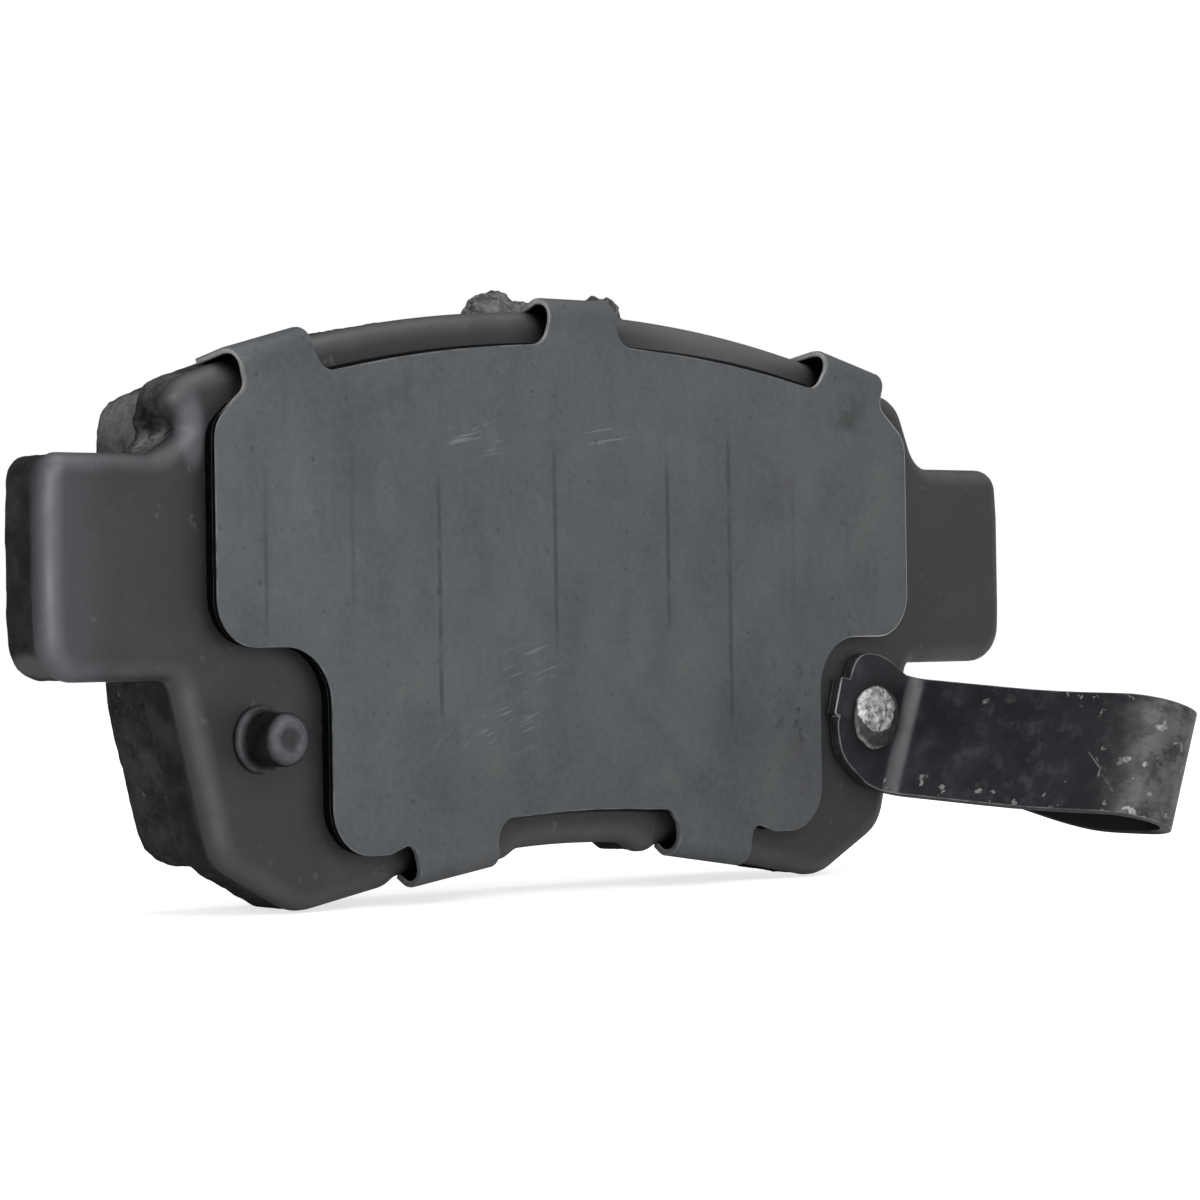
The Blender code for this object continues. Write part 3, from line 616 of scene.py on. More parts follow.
def sheet_edge_look():
    """The rounded corner of the cut shim: scuffed to a lighter tone in places, with a painted
    highlight along the right-hand edges.
    """
    look = Look("shim_corner")
    wear = look.noise(520.0, 4.0, 0.65)
    left = look.tones(wear, 0.35, 0.65, (0.05, 0.055, 0.059), (0.125, 0.132, 0.136))
    # Painted highlight along the right-hand edges
    right = look.band(look.x, 0.027, 0.033, 0.0, 0.85)
    return look.finished(color=look.mix(right, left, (0.48, 0.485, 0.49)),
                         roughness=look.blend(wear, 0.35, 0.6),
                         bumps=((look.noise(1500.0, 3.0), 0.02),))


def shim_rim_look():
    """The shim's cut edge: near black and without sheen round the flat part, as painted shade of
    the gap under the shim; bare steel on the folded hooks.
    """
    look = Look("shim_cut")
    top = look.band(look.distance(ROTOR_CENTRE_Z), (PLATE_TOP_RADIUS - 3.4) * MM,
                    (PLATE_TOP_RADIUS - 2.0) * MM)
    low = look.band(look.distance(ARCH_CENTRE_Z), (ARCH_RADIUS + 1.8) * MM,
                    (ARCH_RADIUS + 2.6) * MM, 1.0, 0.0)
    hook = look.most(top, low)
    strands = look.noise(900.0, 4.0, 0.6)
    bare = look.tones(strands, 0.3, 0.7, (0.3, 0.3, 0.29), (0.5, 0.5, 0.49))
    bare = look.mix(low, bare, look.mix(strands, (0.05, 0.052, 0.055), (0.16, 0.165, 0.17)))
    # Painted shade: the flat cut edge is near black
    flat = look.tones(strands, 0.35, 0.7, 0.0015, 0.004)
    return look.finished(color=look.mix(hook, flat, bare), metallic=look.times(hook, 0.35),
                         roughness=look.blend(hook, 0.8, 0.42),
                         specular=look.blend(hook, 0.04, 0.5), bumps=((strands, 0.03),))


# Rubber of the inner shim and of the outer shim's back, near black and almost without sheen: its
# own dark colour, deepened as painted shade for the band along the shim's edge and inside the hooks
def rubber_look():
    look = Look("shim_rubber")
    cloth = look.noise(1600.0, 3.0, 0.6)
    color = look.tones(cloth, 0.35, 0.7, (0.0008, 0.0008, 0.0009), (0.003, 0.003, 0.0033))
    return look.finished(color=color, roughness=0.9, specular=0.03, bumps=((cloth, 0.03),))


def peg_look():
    """Blackened pin, rubbed lighter on its chamfer, end and collar, which also carry a painted
    highlight; its flank is deepened to near black as painted shade.
    """
    look = Look("peg_black")
    spots = look.noise(650.0, 4.0, 0.65)
    dark = look.tones(spots, 0.35, 0.65, 0.003, (0.009, 0.009, 0.01))
    light = look.tones(spots, 0.3, 0.7, (0.05, 0.052, 0.058), (0.1, 0.104, 0.112))
    return look.finished(color=look.mix(look.mask("edge"), dark, light), metallic=0.1,
                         roughness=look.band(spots, 0.3, 0.7, 0.34, 0.52), specular=0.15,
                         bumps=((spots, 0.05), (look.noise(2600.0, 3.0), 0.015)))


def rivet_look():
    """Hammered head: bare beaten steel over the upper left, black over the rest, with a painted
    highlight along the lower left of its rim.
    """
    look = Look("rivet_hammered")
    crumbs = look.noise(850.0, 5.0, 0.7)
    hit = look.patch((RIVET_X - 0.45, 0.0, PIN_Z + 0.75), (2.35, 9.0, 2.2), 0.35)
    ragged = look.math("ADD", hit, look.times(look.math("SUBTRACT", crumbs, 0.5), 1.3))
    low_left = look.patch((RIVET_X - 1.0, 0.0, PIN_Z - 2.0), (2.9, 9.0, 2.5), 0.3, 0.55)
    # Painted highlight on the lower left of the rim
    lit_rim = look.times(look.mask("lit_rim"), low_left)
    bare = look.most(look.band(ragged, 0.42, 0.6), lit_rim)
    shine = look.tones(look.noise(1900.0, 3.0, 0.7), 0.35, 0.65, (0.14, 0.14, 0.137),
                       (0.5, 0.5, 0.485))
    black = look.tones(crumbs, 0.3, 0.7, (0.012, 0.012, 0.013), (0.04, 0.04, 0.042))
    return look.finished(color=look.mix(bare, black, shine), metallic=look.times(bare, 0.5),
                         roughness=look.blend(bare, 0.45, 0.38),
                         bumps=((look.cells(1000.0), 0.1), (crumbs, 0.12)))


# Marks on the strip: along it, up from its middle, turn in degrees, length, width, strength
STRIP_SCRATCHES = (
    (19.0, -0.8, -42.0, 1.9, 0.03, 0.6),
    (19.7, -1.7, 85.0, 0.5, 0.12, 0.9),
    (20.6, -2.6, -48.0, 1.5, 0.02, 0.35),
    (23.6, 2.6, 20.0, 0.5, 0.3, 1.0),
    (23.7, 2.7, 80.0, 0.6, 0.12, 0.9),
    (25.8, 1.6, -50.0, 0.6, 0.15, 0.7),
    (4.1, -3.3, 10.0, 0.35, 0.3, 0.9),
    (7.9, 3.6, 30.0, 0.3, 0.25, 0.7),
    (25.6, -4.2, 0.0, 0.3, 0.3, 0.8),
    (21.3, -0.7, 60.0, 0.5, 0.2, 0.6),
)


def strip_chips(look, place, crumbs):
    """How much of the strip's black is chipped or scratched away."""
    along, across, _ = look.split(place)
    far = look.times(look.within(along, 0.017, 0.0285, 0.006), 0.85)
    busy = look.most(far, look.band(across, -0.0018, -0.0044))

    def chipped(scale, detail, roughness, cut, more, soft):
        """Specks where the noise passes a cut, which is lower in the busy places."""
        level = look.math("SUBTRACT", cut, look.times(busy, more))
        spots = look.noise(scale, detail, roughness, place)
        return look.band(look.math("SUBTRACT", spots, level), 0.0, soft)

    chip = look.most(chipped(950.0, 3.0, 0.55, 0.77, 0.155, 0.05),
                     look.times(chipped(380.0, 4.0, 0.7, 0.78, 0.13, 0.06), 0.55))
    ragged = look.band(crumbs, 0.38, 0.55, 0.15, 1.0)
    for start_along, start_up, turn, length, width, strength in STRIP_SCRATCHES:
        moved = look.node("Mapping", {
            "Vector": place, "Location": (start_along * MM, start_up * MM, 0.0),
            "Rotation": (0.0, 0.0, radians(turn))}, vector_type="TEXTURE")
        run, side, _ = look.split(moved.outputs[0])
        mark = look.times(look.within(run, -length / 2 * MM, length / 2 * MM, 0.0003),
                          look.within(side, -width / 2 * MM, width / 2 * MM, 0.0001),
                          ragged, strength)
        chip = look.most(chip, mark)
    return chip


def strip_look():
    """Blue-black spring steel, chipped near its edges and worn at its far end; painted lighter
    along its run, with painted highlights at its bend and far end and a painted shadow round the
    rivet.
    """
    look = Look("spring_steel")
    place = look.flat_place()
    along, _, _ = look.split(place)
    clouds = look.noise(95.0, 5.0, 0.65, place)
    crumbs = look.noise(1500.0, 3.0, 0.6, place)
    chip = strip_chips(look, place, crumbs)

    def uneven(scale, detail, roughness, start, end, low, high):
        return look.band(look.noise(scale, detail, roughness, place), start, end, low, high)

    base = look.layers(
        look.tones(clouds, 0.32, 0.68, (0.004, 0.0048, 0.0068), (0.013, 0.0145, 0.019)),
        # Painted light: the run is lighter from 8 mm on, towards the loop
        (look.times(look.band(along, 0.008, 0.027),
                    uneven(260.0, 4.0, 0.65, 0.3, 0.6, 0.4, 1.0), 0.85), (0.036, 0.037, 0.04)),
        (look.times(uneven(420.0, 4.0, 0.7, 0.48, 0.7, 0.0, 0.65),
                    look.band(along, 0.003, 0.012, 0.4, 1.0)), (0.06, 0.061, 0.064)),
        # Painted highlight along the bend
        (look.times(look.within(along, 0.0007, 0.0018, 0.0006),
                    uneven(300.0, 3.0, 0.6, 0.3, 0.6, 0.6, 1.0), 0.8), (0.075, 0.076, 0.08)),
        # Lighter and speckled towards the far end: wear, together with a painted highlight on the
        # loop's end
        (look.times(look.band(along, 0.0195, 0.0245),
                    uneven(520.0, 5.0, 0.75, 0.4, 0.6, 0.0, 0.75)), (0.105, 0.107, 0.11)),
        # Painted shadow round the rivet
        (look.patch((RIVET_X, 0.0, PIN_Z), (3.7, 4.0, 3.7), 0.4, 0.9), 0.002),
        (chip, look.mix(crumbs, (0.1, 0.1, 0.098), (0.34, 0.34, 0.33))),
    )
    drawn = look.vector("MULTIPLY", place, (90.0, 2200.0, 1.0))
    return look.finished(
        color=base, roughness=look.band(clouds, 0.3, 0.7, 0.34, 0.52), specular=0.4,
        metallic=look.blend(chip, 0.15, 0.4),
        bumps=((look.noise(130.0, 3.0, 0.5, place), 0.06),
               (look.noise(1.0, 3.0, 0.6, drawn), 0.006), (chip, 0.03)))


def strip_edge_look(name, bright, dark, lug_shine):
    """The strip's cut edge: rubbed bright at the lug, and black inside the loop as painted shade.
    """
    look = Look(name)
    along, _, _ = look.split(look.flat_place())
    lug = look.patch((CREASE_X - 6.6, 0.7, CREASE_Z + 3.2), (0.9, 2.0, 2.2), 0.4, lug_shine)
    # Painted shade on the edges inside the loop
    inside = look.band(along, 0.0285, 0.031)
    color = look.layers(
        look.tones(look.noise(520.0, 4.0, 0.65), 0.35, 0.65, dark, bright),
        (lug, 0.3), (inside, (0.006, 0.006, 0.007)))
    return look.finished(color=color, roughness=look.blend(inside, 0.5, 0.9), specular=0.4,
                         bumps=((look.noise(1500.0, 3.0), 0.02),))


def strip_back_look():
    """The strip's other side, inside the loop: black scale with a little dust."""
    look = Look("strip_back")
    scale = look.noise(240.0, 4.0, 0.6)
    color = look.tones(scale, 0.35, 0.7, (0.003, 0.003, 0.0035), (0.012, 0.012, 0.0135))
    return look.finished(color=color, roughness=0.7, specular=0.25,
                         bumps=((scale, 0.05), (look.noise(1800.0, 2.0), 0.01)))


# ---- outlines

def rounded_path(corners, closed, arc_step=FINE_ARC):
    """Turn (x, y, radius) corners into points, with an arc at each corner that has a radius."""
    points = []
    count = len(corners)
    for index, (x, y, radius) in enumerate(corners):
        here = Vector((x, y))
        is_end = not closed and index in (0, count - 1)
        if radius == 0 or is_end:
            points.append(here)
            continue
        before = (Vector(corners[index - 1][:2]) - here).normalized()
        after = (Vector(corners[(index + 1) % count][:2]) - here).normalized()
        opening = before.angle(after)
        reach = radius / sin(opening / 2) * cos(opening / 2)
        centre = here + (before + after).normalized() * (radius / sin(opening / 2))
        start = here + before * reach - centre
        turn = pi - opening
        if before.x * after.y - before.y * after.x > 0:
            turn = -turn
        steps = max(2, round(abs(degrees(turn)) / arc_step))
        for step in range(steps + 1):
            points.append(centre + Matrix.Rotation(turn * step / steps, 2) @ start)
    return points


def flipped(half):
    """A half outline on the other side of the centre line, running back to the top."""
    return [(-x, y, radius) for x, y, radius in reversed(half) if x > 0]


def arc_height(centre_z, radius, side):
    """Height, at x and an inset, of an arc about the centre line; side is the inset's sign."""
    return lambda x, inset=0.0: centre_z + sqrt((radius + side * inset) ** 2 - x * x)


top_arc_z = arc_height(ROTOR_CENTRE_Z, PLATE_TOP_RADIUS, -1)
arch_z = arc_height(ARCH_CENTRE_Z, ARCH_RADIUS, 1)
low_edge_z = arc_height(LOW_EDGE_Z - LOW_EDGE_RADIUS, LOW_EDGE_RADIUS, 1)


def arc_run(height, start_x, end_x, inset, steps):
    places = [start_x + (end_x - start_x) * step / steps for step in range(steps + 1)]
    return [(x, height(x, inset), 0) for x in places]


def spaced(points, spacing):
    """The same closed outline as evenly spaced points, as an array."""
    loop = np.array([tuple(point) for point in points])
    loop = np.vstack([loop, loop[:1]])
    lengths = np.linalg.norm(np.diff(loop, axis=0), axis=1)
    reached = np.concatenate([[0.0], np.cumsum(lengths)])
    count = int(round(reached[-1] / spacing))
    wanted = np.arange(count) * reached[-1] / count
    return np.stack([np.interp(wanted, reached, loop[:, axis]) for axis in (0, 1)], axis=1)


def inward(loop):
    """Unit direction into a clockwise outline at each of its points."""
    along = np.roll(loop, -1, axis=0) - np.roll(loop, 1, axis=0)
    along /= np.linalg.norm(along, axis=1)[:, None]
    return np.stack([along[:, 1], -along[:, 0]], axis=1)


def level_ring(loop, y):
    return np.stack([loop[:, 0], np.full(len(loop), y), loop[:, 1]], axis=1)


def side_loop(outline, spacing):
    """Evenly spaced points round an outline, with the directions into it and out of it."""
    loop = spaced(rounded_path(outline, True), spacing)
    into = inward(loop)
    return loop, into, -level_ring(into, 0.0)


# ---- mesh helpers

def mesh_of(work, name):
    mesh = bpy.data.meshes.new(name)
    work.to_mesh(mesh)
    work.free()
    return mesh


def applied(piece):
    """Give a piece the mesh that its modifiers make."""
    bpy.context.view_layer.update()
    graph = bpy.context.evaluated_depsgraph_get()
    done = bpy.data.meshes.new_from_object(piece.evaluated_get(graph))
    piece.modifiers.clear()
    piece.data = done
    return done


def face_front(work):
    """Turn a sheet's faces so that the biggest one looks away from the rotor."""
    bmesh.ops.recalc_face_normals(work, faces=work.faces)
    biggest = max(work.faces, key=lambda item: item.calc_area())
    if biggest.normal.y > 0:
        bmesh.ops.reverse_faces(work, faces=work.faces)


def add_piece(name, mesh, materials, body, replaced):
    for material in materials:
        mesh.materials.append(material)
    piece = placed(name, mesh)
    if body is not None:
        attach(piece, body)
    if replaced:
        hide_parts(*replaced)
    return piece


def ring_mesh(name, rings, masks=None):
    """Join rings of equal length into one closed skin; masks hold one value per ring."""
    count = len(rings[0])
    work = bmesh.new()
    verts = [[work.verts.new(Vector(point) * MM) for point in ring] for ring in rings]
    for first, second in zip(verts, verts[1:]):
        for index in range(count):
            other = (index + 1) % count
            work.faces.new((first[index], first[other], second[other], second[index]))
    for ring in (verts[0], verts[-1]):
        work.faces.new(ring)
    bmesh.ops.recalc_face_normals(work, faces=work.faces)
    for face in work.faces:
        face.smooth = True
    mesh = mesh_of(work, name)
    for key, values in (masks or {}).items():
        layer = mesh.attributes.new(key, "FLOAT", "POINT")
        layer.data.foreach_set("value", np.repeat(np.array(values, np.float32), count))
    return mesh


def roughened(places, outward, size, depth, seed, octaves):
    """Push each place along its own outward direction by fractal noise of a given grain size."""
    shift = Vector((seed * 17.3, seed * 5.1, seed * 9.7))
    values = [noise.fractal(Vector(place) / size + shift, 1.0, 2.1, octaves) for place in places]
    depths = np.ones(len(places)) * depth
    return places + outward * np.array(values)[:, None] * depths[:, None]


# ---- backing plate

def plate_half(shoulder, root):
    side_slope = (SIDE_TOP_X - SIDE_BOTTOM_X) / (-EAR_HALF_HEIGHT - SIDE_BOTTOM_Z)
    return arc_run(top_arc_z, 0.0, TOP_ARC_END_X, 0.0, 30) + [
        (shoulder[0], top_arc_z(shoulder[0]), shoulder[1]),
        (root[0], EAR_HALF_HEIGHT, root[1]),
        (EAR_HALF_LENGTH - 0.3, EAR_HALF_HEIGHT, 1.8),
        (EAR_HALF_LENGTH, 4.0, 0),
        (EAR_HALF_LENGTH, -3.5, 0),
        (EAR_HALF_LENGTH - 0.2, -EAR_HALF_HEIGHT, 3.0),
        (SIDE_TOP_X, -EAR_HALF_HEIGHT, 0.9),
        (SIDE_BOTTOM_X - side_slope * 2.6, SIDE_BOTTOM_Z - 2.6, 3.6),
        (LOBE_X, LOBE_Z, 4.6),
        (RECESS_END_X, low_edge_z(RECESS_END_X), 1.7),
        (RECESS_FLOOR_END_X, arch_z(RECESS_FLOOR_END_X), 0.8),
        *arc_run(arch_z, RECESS_FLOOR_END_X - 1.5, RECESS_FLOOR_START_X + 1.5, 0.0, 8),
        (RECESS_FLOOR_START_X, arch_z(RECESS_FLOOR_START_X), 0.8),
        (RECESS_START_X, low_edge_z(RECESS_START_X), 1.7),
        (NOTCH_EDGE_X, low_edge_z(NOTCH_EDGE_X), 1.7),
        (NOTCH_FLOOR_X, arch_z(NOTCH_FLOOR_X), 1.5),
    ] + arc_run(arch_z, NOTCH_FLOOR_X - 2.0, 0.0, 0.0, 6)


# Share of the painted highlight at each step round the rolled front edge
EDGE_HIGHLIGHT = (0.0, 0.25, 0.5, 0.65, 0.65, 0.5, 0.25, 0.0)  # round the rolled front edge
WALL_STEPS = 11


def make_plate(material):
    outline = (plate_half(RIGHT_SHOULDER, RIGHT_EAR_ROOT)
               + flipped(plate_half(LEFT_SHOULDER, LEFT_EAR_ROOT)))
    loop, into, outward = side_loop(outline, PLATE_SPACING)
    rings, walls, edges = [], [], []

    def add(inset, y, wall, edge, depth):
        ring = level_ring(loop + into * inset, y)
        if depth > 0:
            here = depth * torn_more(ring)
            ring = roughened(ring, outward, 1.5, here, 1, 4)
            ring = roughened(ring, outward, 0.5, here * 0.5, 2, 2)
        rings.append(ring)
        walls.append(wall)
        edges.append(edge)

    add(ROLL_WIDTH + 0.2, PLATE_FRONT, 0, 0, 0)
    for step, edge in enumerate(EDGE_HIGHLIGHT):
        turn = radians(90) * step / (len(EDGE_HIGHLIGHT) - 1)
        add(ROLL_WIDTH * (1 - sin(turn)), PLATE_FRONT + ROLL_DEPTH * (1 - cos(turn)), 0, edge, 0)
    start = PLATE_FRONT + ROLL_DEPTH
    end = PLATE_BACK - 0.3
    for step in range(1, WALL_STEPS + 1):
        share = step / WALL_STEPS
        torn = min(1.0, share / 0.2)
        add(0.04 + 0.1 * torn, start + (end - start) * share, torn, 0, 0.09 * torn)
    add(0.25, PLATE_BACK - 0.08, 0.7, 0, 0.06)
    # The back corner takes half of the painted highlight
    add(0.55, PLATE_BACK, 0.2, 0.5, 0)
    add(0.8, PLATE_BACK, 0, 0, 0)
    recess_ear_end(rings)
    bulge_left_shoulder(rings)
    mesh = ring_mesh("backing_plate_visual", rings, {"wall": walls, "edge": edges})
    add_piece("plate_pressed", mesh, [material], "pad", ["backing_plate"])


def torn_more(ring):
    """How much rougher than usual the sheared wall is: most at the left shoulder."""
    near = np.exp(-((ring[:, 0] + 38.5) / 2.0) ** 2 - ((ring[:, 2] - 10.6) / 2.2) ** 2)
    return 1.0 + 4.5 * near


def bulge_left_shoulder(rings):
    """The left shoulder was torn in stamping: full at the top, necked in above the ear."""
    start_x, low_z = -35.5, 8.1
    for ring in rings:
        for point in ring:
            if point[0] > start_x or point[2] < low_z:
                continue
            full = 0.6 * np.exp(-((point[2] - 12.2) / 1.0) ** 2)
            neck = 0.85 * np.exp(-((point[2] - 9.8) / 0.9) ** 2)
            front = np.clip((6.2 - point[1]) / 2.6, 0.0, 1.0)
            side = np.clip((start_x - point[0]) / 1.5, 0.0, 1.0)
            point[0] -= (full - neck) * front * side


def recess_ear_end(rings):
    """The left ear's end face has a shallow step left by the shearing."""
    low_z, high_z, depth, soft = -5.6, -2.0, 0.28, 0.3
    for ring in rings[10:-3]:
        for point in ring:
            if point[0] < -EAR_HALF_LENGTH + 1.0:
                rise = np.clip((point[2] - low_z) / soft, 0, 1)
                point[0] += depth * rise * np.clip((high_z - point[2]) / soft, 0, 1)


# ---- lining

def lining_outline(inset):
    corner_x = LINING_CORNER_X - inset
    top_inset = LINING_INSET_TOP + inset
    half = arc_run(top_arc_z, 0.0, 30.0, top_inset, 24) + [
        (corner_x, top_arc_z(corner_x, top_inset), 3.4),
        (corner_x, 5.0, 3.0),
        (LINING_SIDE_X - inset, -10.0, 6.0),
        (LINING_LOW_X - inset, LINING_LOW_Z + inset, 3.6),
    ] + arc_run(arch_z, 20.0, 0.0, 1.2 + inset, 16)
    return half + flipped(half)


def granular_solid(name, inset, front, back, chamfer, seed, depth):
    """A slab of lining whose sides are truly rough."""
    loop, into, outward = side_loop(lining_outline(inset), LINING_SPACING)
    profile = [(0.9, front, 0.0), (0.25, front, 0.4), (0.0, front + 0.3, 1.0)]
    steps = max(2, int((back - front) / LINING_SPACING))
    for step in range(1, steps):
        profile.append((0.0, front + 0.3 + (back - front - 0.3 - chamfer) * step / steps, 1.0))
    profile += [(0.0, back - chamfer, 1.0), (chamfer * 0.5, back - chamfer * 0.4, 0.6),
                (chamfer, back, 0.15), (chamfer + 0.6, back, 0.0)]
    rings = []
    for inset_here, y, share in profile:
        ring = level_ring(loop + into * inset_here, y)
        if share > 0:
            ring = roughened(ring, outward, 1.9, depth * share, seed, 4)
            ring = roughened(ring, outward, 0.55, depth * 0.9 * share, seed + 3, 2)
        rings.append(ring)
    return ring_mesh(name, rings)


def make_lining(side_material, face_material, layer_material):
    mesh = granular_solid("lining_layer_visual", 0.05, PLATE_BACK + 0.02, LAYER_BACK, 0.1, 5, 0.12)
    add_piece("lining_bond", mesh, [layer_material], "pad", ["lining_underlayer"])
    mesh = granular_solid("lining_visual", 0.1, LAYER_BACK + 0.02, BLOCK_BACK, FACE_CHAMFER, 7,
                          0.11)
    mesh.materials.append(side_material)
    mesh.materials.append(face_material)
    block = placed("lining_block", mesh)
    work = bmesh.new()
    bmesh.ops.create_cube(work, size=1.0)
    size = (2 * SLOT_HALF_WIDTH * MM, 2 * SLOT_DEPTH * MM, SLOT_CUTTER_HEIGHT)
    bmesh.ops.scale(work, vec=size, verts=work.verts)
    bmesh.ops.translate(work, vec=(0, BLOCK_BACK * MM, 0), verts=work.verts)
    cutter = placed("slot_cutter", mesh_of(work, "slot_cutter"))
    adjusted(block.modifiers.new("slot", "BOOLEAN"), operation="DIFFERENCE", solver="EXACT",
             object=cutter)
    done = applied(block)
    bpy.data.objects.remove(cutter)
    for face in done.polygons:
        flat_back = face.normal.y > 0.9 and face.center.y > (BLOCK_BACK - 0.2) * MM
        face.material_index = 1 if flat_back else 0
        face.use_smooth = not flat_back
    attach(block, "pad")
    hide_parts("friction_block")


# Name; x, y and rise of the centre over the plate's top edge; reach along each axis; seed
FLASH_BEADS = (
    ("flash_wide", (-0.9, 9.4, -0.4), (3.0, 1.3, 2.4), 11),
    ("flash_side", (2.0, 9.2, -0.9), (2.1, 1.1, 2.2), 13),
    ("flash_narrow", (10.6, 9.3, 0.0), (2.7, 1.1, 2.5), 12),
)


def make_flash(material):
    """Crumbly beads of lining squeezed out over the plate's top edge."""
    for name, (x, y, rise), reach, seed in FLASH_BEADS:
        work = bmesh.new()
        bmesh.ops.create_icosphere(work, subdivisions=5, radius=1.0)
        centre = Vector((x, y, top_arc_z(x) + rise))
        for vert in work.verts:
            way = vert.co.normalized()
            lump = noise.fractal(way * 1.4 + Vector((seed, 0, 0)), 1.0, 2.0, 2) * 0.2
            fine = noise.fractal(way * 6.0 + Vector((0, seed, 0)), 1.0, 2.0, 3) * 0.06
            size = 1.0 + lump + fine
            foot = 1.0 + 1.1 * max(0.0, 0.45 - way.z)
            place = Vector((way.x * reach[0], way.y * reach[1] * foot, way.z * reach[2])) * size
            vert.co = (place + centre) * MM
        for face in work.faces:
            face.smooth = True
        add_piece(name, mesh_of(work, name), [material], "pad", [])


# ---- outer shim

def edge_frame(centre_z, radius, angle):
    outward = Vector((sin(angle), cos(angle)))
    sideways = Vector((cos(angle), -sin(angle)))
    return Vector((0, centre_z)) + outward * radius, outward, sideways


def tab_frames():
    """Each tab's stub end: middle, outward and sideways directions, half width and wrap."""
    frames = []
    for degree, wrap in ((0.0, CENTRE_TAB_WRAP), (SIDE_TAB_ANGLE, SIDE_TAB_WRAP)):
        end = edge_frame(ROTOR_CENTRE_Z, PLATE_TOP_RADIUS - STUB_INSET, radians(degree))
        frames.append((*end, TOP_TAB_HALF_WIDTH, wrap))
    angle = asin(BOTTOM_TAB_X / ARCH_RADIUS)
    middle, outward, sideways = edge_frame(ARCH_CENTRE_Z, ARCH_RADIUS + STUB_INSET, angle)
    frames.append((middle, -outward, sideways, BOTTOM_TAB_HALF_WIDTH, BOTTOM_TAB_WRAP))
    return frames


def tab_places():
    """Middle, outward direction, half width and wrap of every tab, on both sides."""
    for middle, outward, _, half_width, wrap in tab_frames():
        yield middle, outward, half_width, wrap
        if middle.x > 1.0:
            flip = Vector((-1, 1))
            yield middle * flip, outward * flip, half_width, wrap


def shim_outline():
    centre_tab, side_tab, bottom_tab = tab_frames()
    stub = SLOT_INSET - STUB_INSET

    def root(tab, side, drop=stub, flare=TAB_FLARE, radius=1.6):
        middle, outward, sideways, half_width, _ = tab
        place = middle + sideways * (half_width + flare) * side - outward * drop
        return place.x, place.y, radius

    def tip(tab, side):
        return root(tab, side, 0.0, 0.0, 0)

    slot_start = root(centre_tab, 1)
    slot_end = root(side_tab, -1)
    half = [
        tip(centre_tab, 1),
        slot_start,
        *arc_run(top_arc_z, slot_start[0] + SLOT_END_ROOM, slot_end[0] - SLOT_END_ROOM,
                 SLOT_INSET, 12),
        slot_end,
        tip(side_tab, -1),
        tip(side_tab, 1),
        root(side_tab, 1, 1.1, 0.0, 1.0),
        (SHIM_HALF_WIDTH, SHIM_SHOULDER_Z, 2.6),
        (SHIM_HALF_WIDTH, SHIM_STEP_Z, 3.5),
        (SHIM_LOW_HALF_WIDTH, SHIM_STEP_Z, 4.2),
        (SHIM_LOW_HALF_WIDTH, SHIM_BOTTOM_Z, 3.6),
        (SHIM_FOOT_X, SHIM_BOTTOM_Z, 1.4),
        root(bottom_tab, 1, stub - 0.1, 0.2, 0.85),
        tip(bottom_tab, 1),
        tip(bottom_tab, -1),
        root(bottom_tab, -1),
        *arc_run(arch_z, 5.0, 0.0, SLOT_INSET, 6),
    ]
    return half + flipped(half)


def hook_path(wrap):
    """A tab's outer face from its stub: (outward, towards the rotor) from the plate's edge."""
    return rounded_path([
        (-STUB_INSET, 0.0, 0),
        (0.95, -0.15, 1.45),
        (0.95, 1.9, 1.2),
        (SHIM_THICKNESS - 0.22, wrap, 0),
    ], closed=False)


def edge_middle(edge):
    return (edge.verts[0].co + edge.verts[1].co) / 2


def grow_tab(work, middle, outward, wrap):
    target = Vector((middle.x * MM, 0, middle.y * MM))
    edge = min(work.edges, key=lambda item: (edge_middle(item) - target).length)
    path = hook_path(wrap)
    for before, after in zip(path, path[1:]):
        step = after - before
        move = Vector((outward.x * step.x, step.y, outward.y * step.x)) * MM
        made = bmesh.ops.extrude_edge_only(work, edges=[edge])["geom"]
        ends = [item for item in made if isinstance(item, bmesh.types.BMVert)]
        bmesh.ops.translate(work, vec=move, verts=ends)
        edge = next(item for item in made if isinstance(item, bmesh.types.BMEdge)
                    and all(end in made for end in item.verts))


def sheet_modifiers(piece, thickness, offset):
    """Give a sheet its thickness; slots 1, 2 and 3 are its cut edge, corners and back."""
    adjusted(piece.modifiers.new("sheet", "SOLIDIFY"), thickness=thickness * MM, offset=offset,
             use_even_offset=True, material_offset_rim=1, material_offset=3)
    adjusted(piece.modifiers.new("cut corner", "BEVEL"), width=SHEET_CORNER * MM, segments=2,
             limit_method="ANGLE", angle_limit=radians(50), material=2)
    done = applied(piece)
    done.shade_smooth()
    done.set_sharp_from_angle(angle=radians(35))


def make_outer_shim(*materials):
    """Takes the materials of the face, the cut edge, the corners and the back."""
    work = bmesh.new()
    points = rounded_path(shim_outline(), True)
    ring = [work.verts.new((point.x * MM, 0, point.y * MM)) for point in points]
    sheet = work.faces.new(ring)
    sheet.normal_update()
    if sheet.normal.y > 0:
        sheet.normal_flip()
    for middle, outward, _, wrap in tab_places():
        grow_tab(work, middle, outward, wrap)
    face_front(work)
    piece = add_piece("shim_clipped", mesh_of(work, "shim_visual"), materials, "pad",
                      ["outer_shim"])
    sheet_modifiers(piece, SHIM_THICKNESS, -1.0)


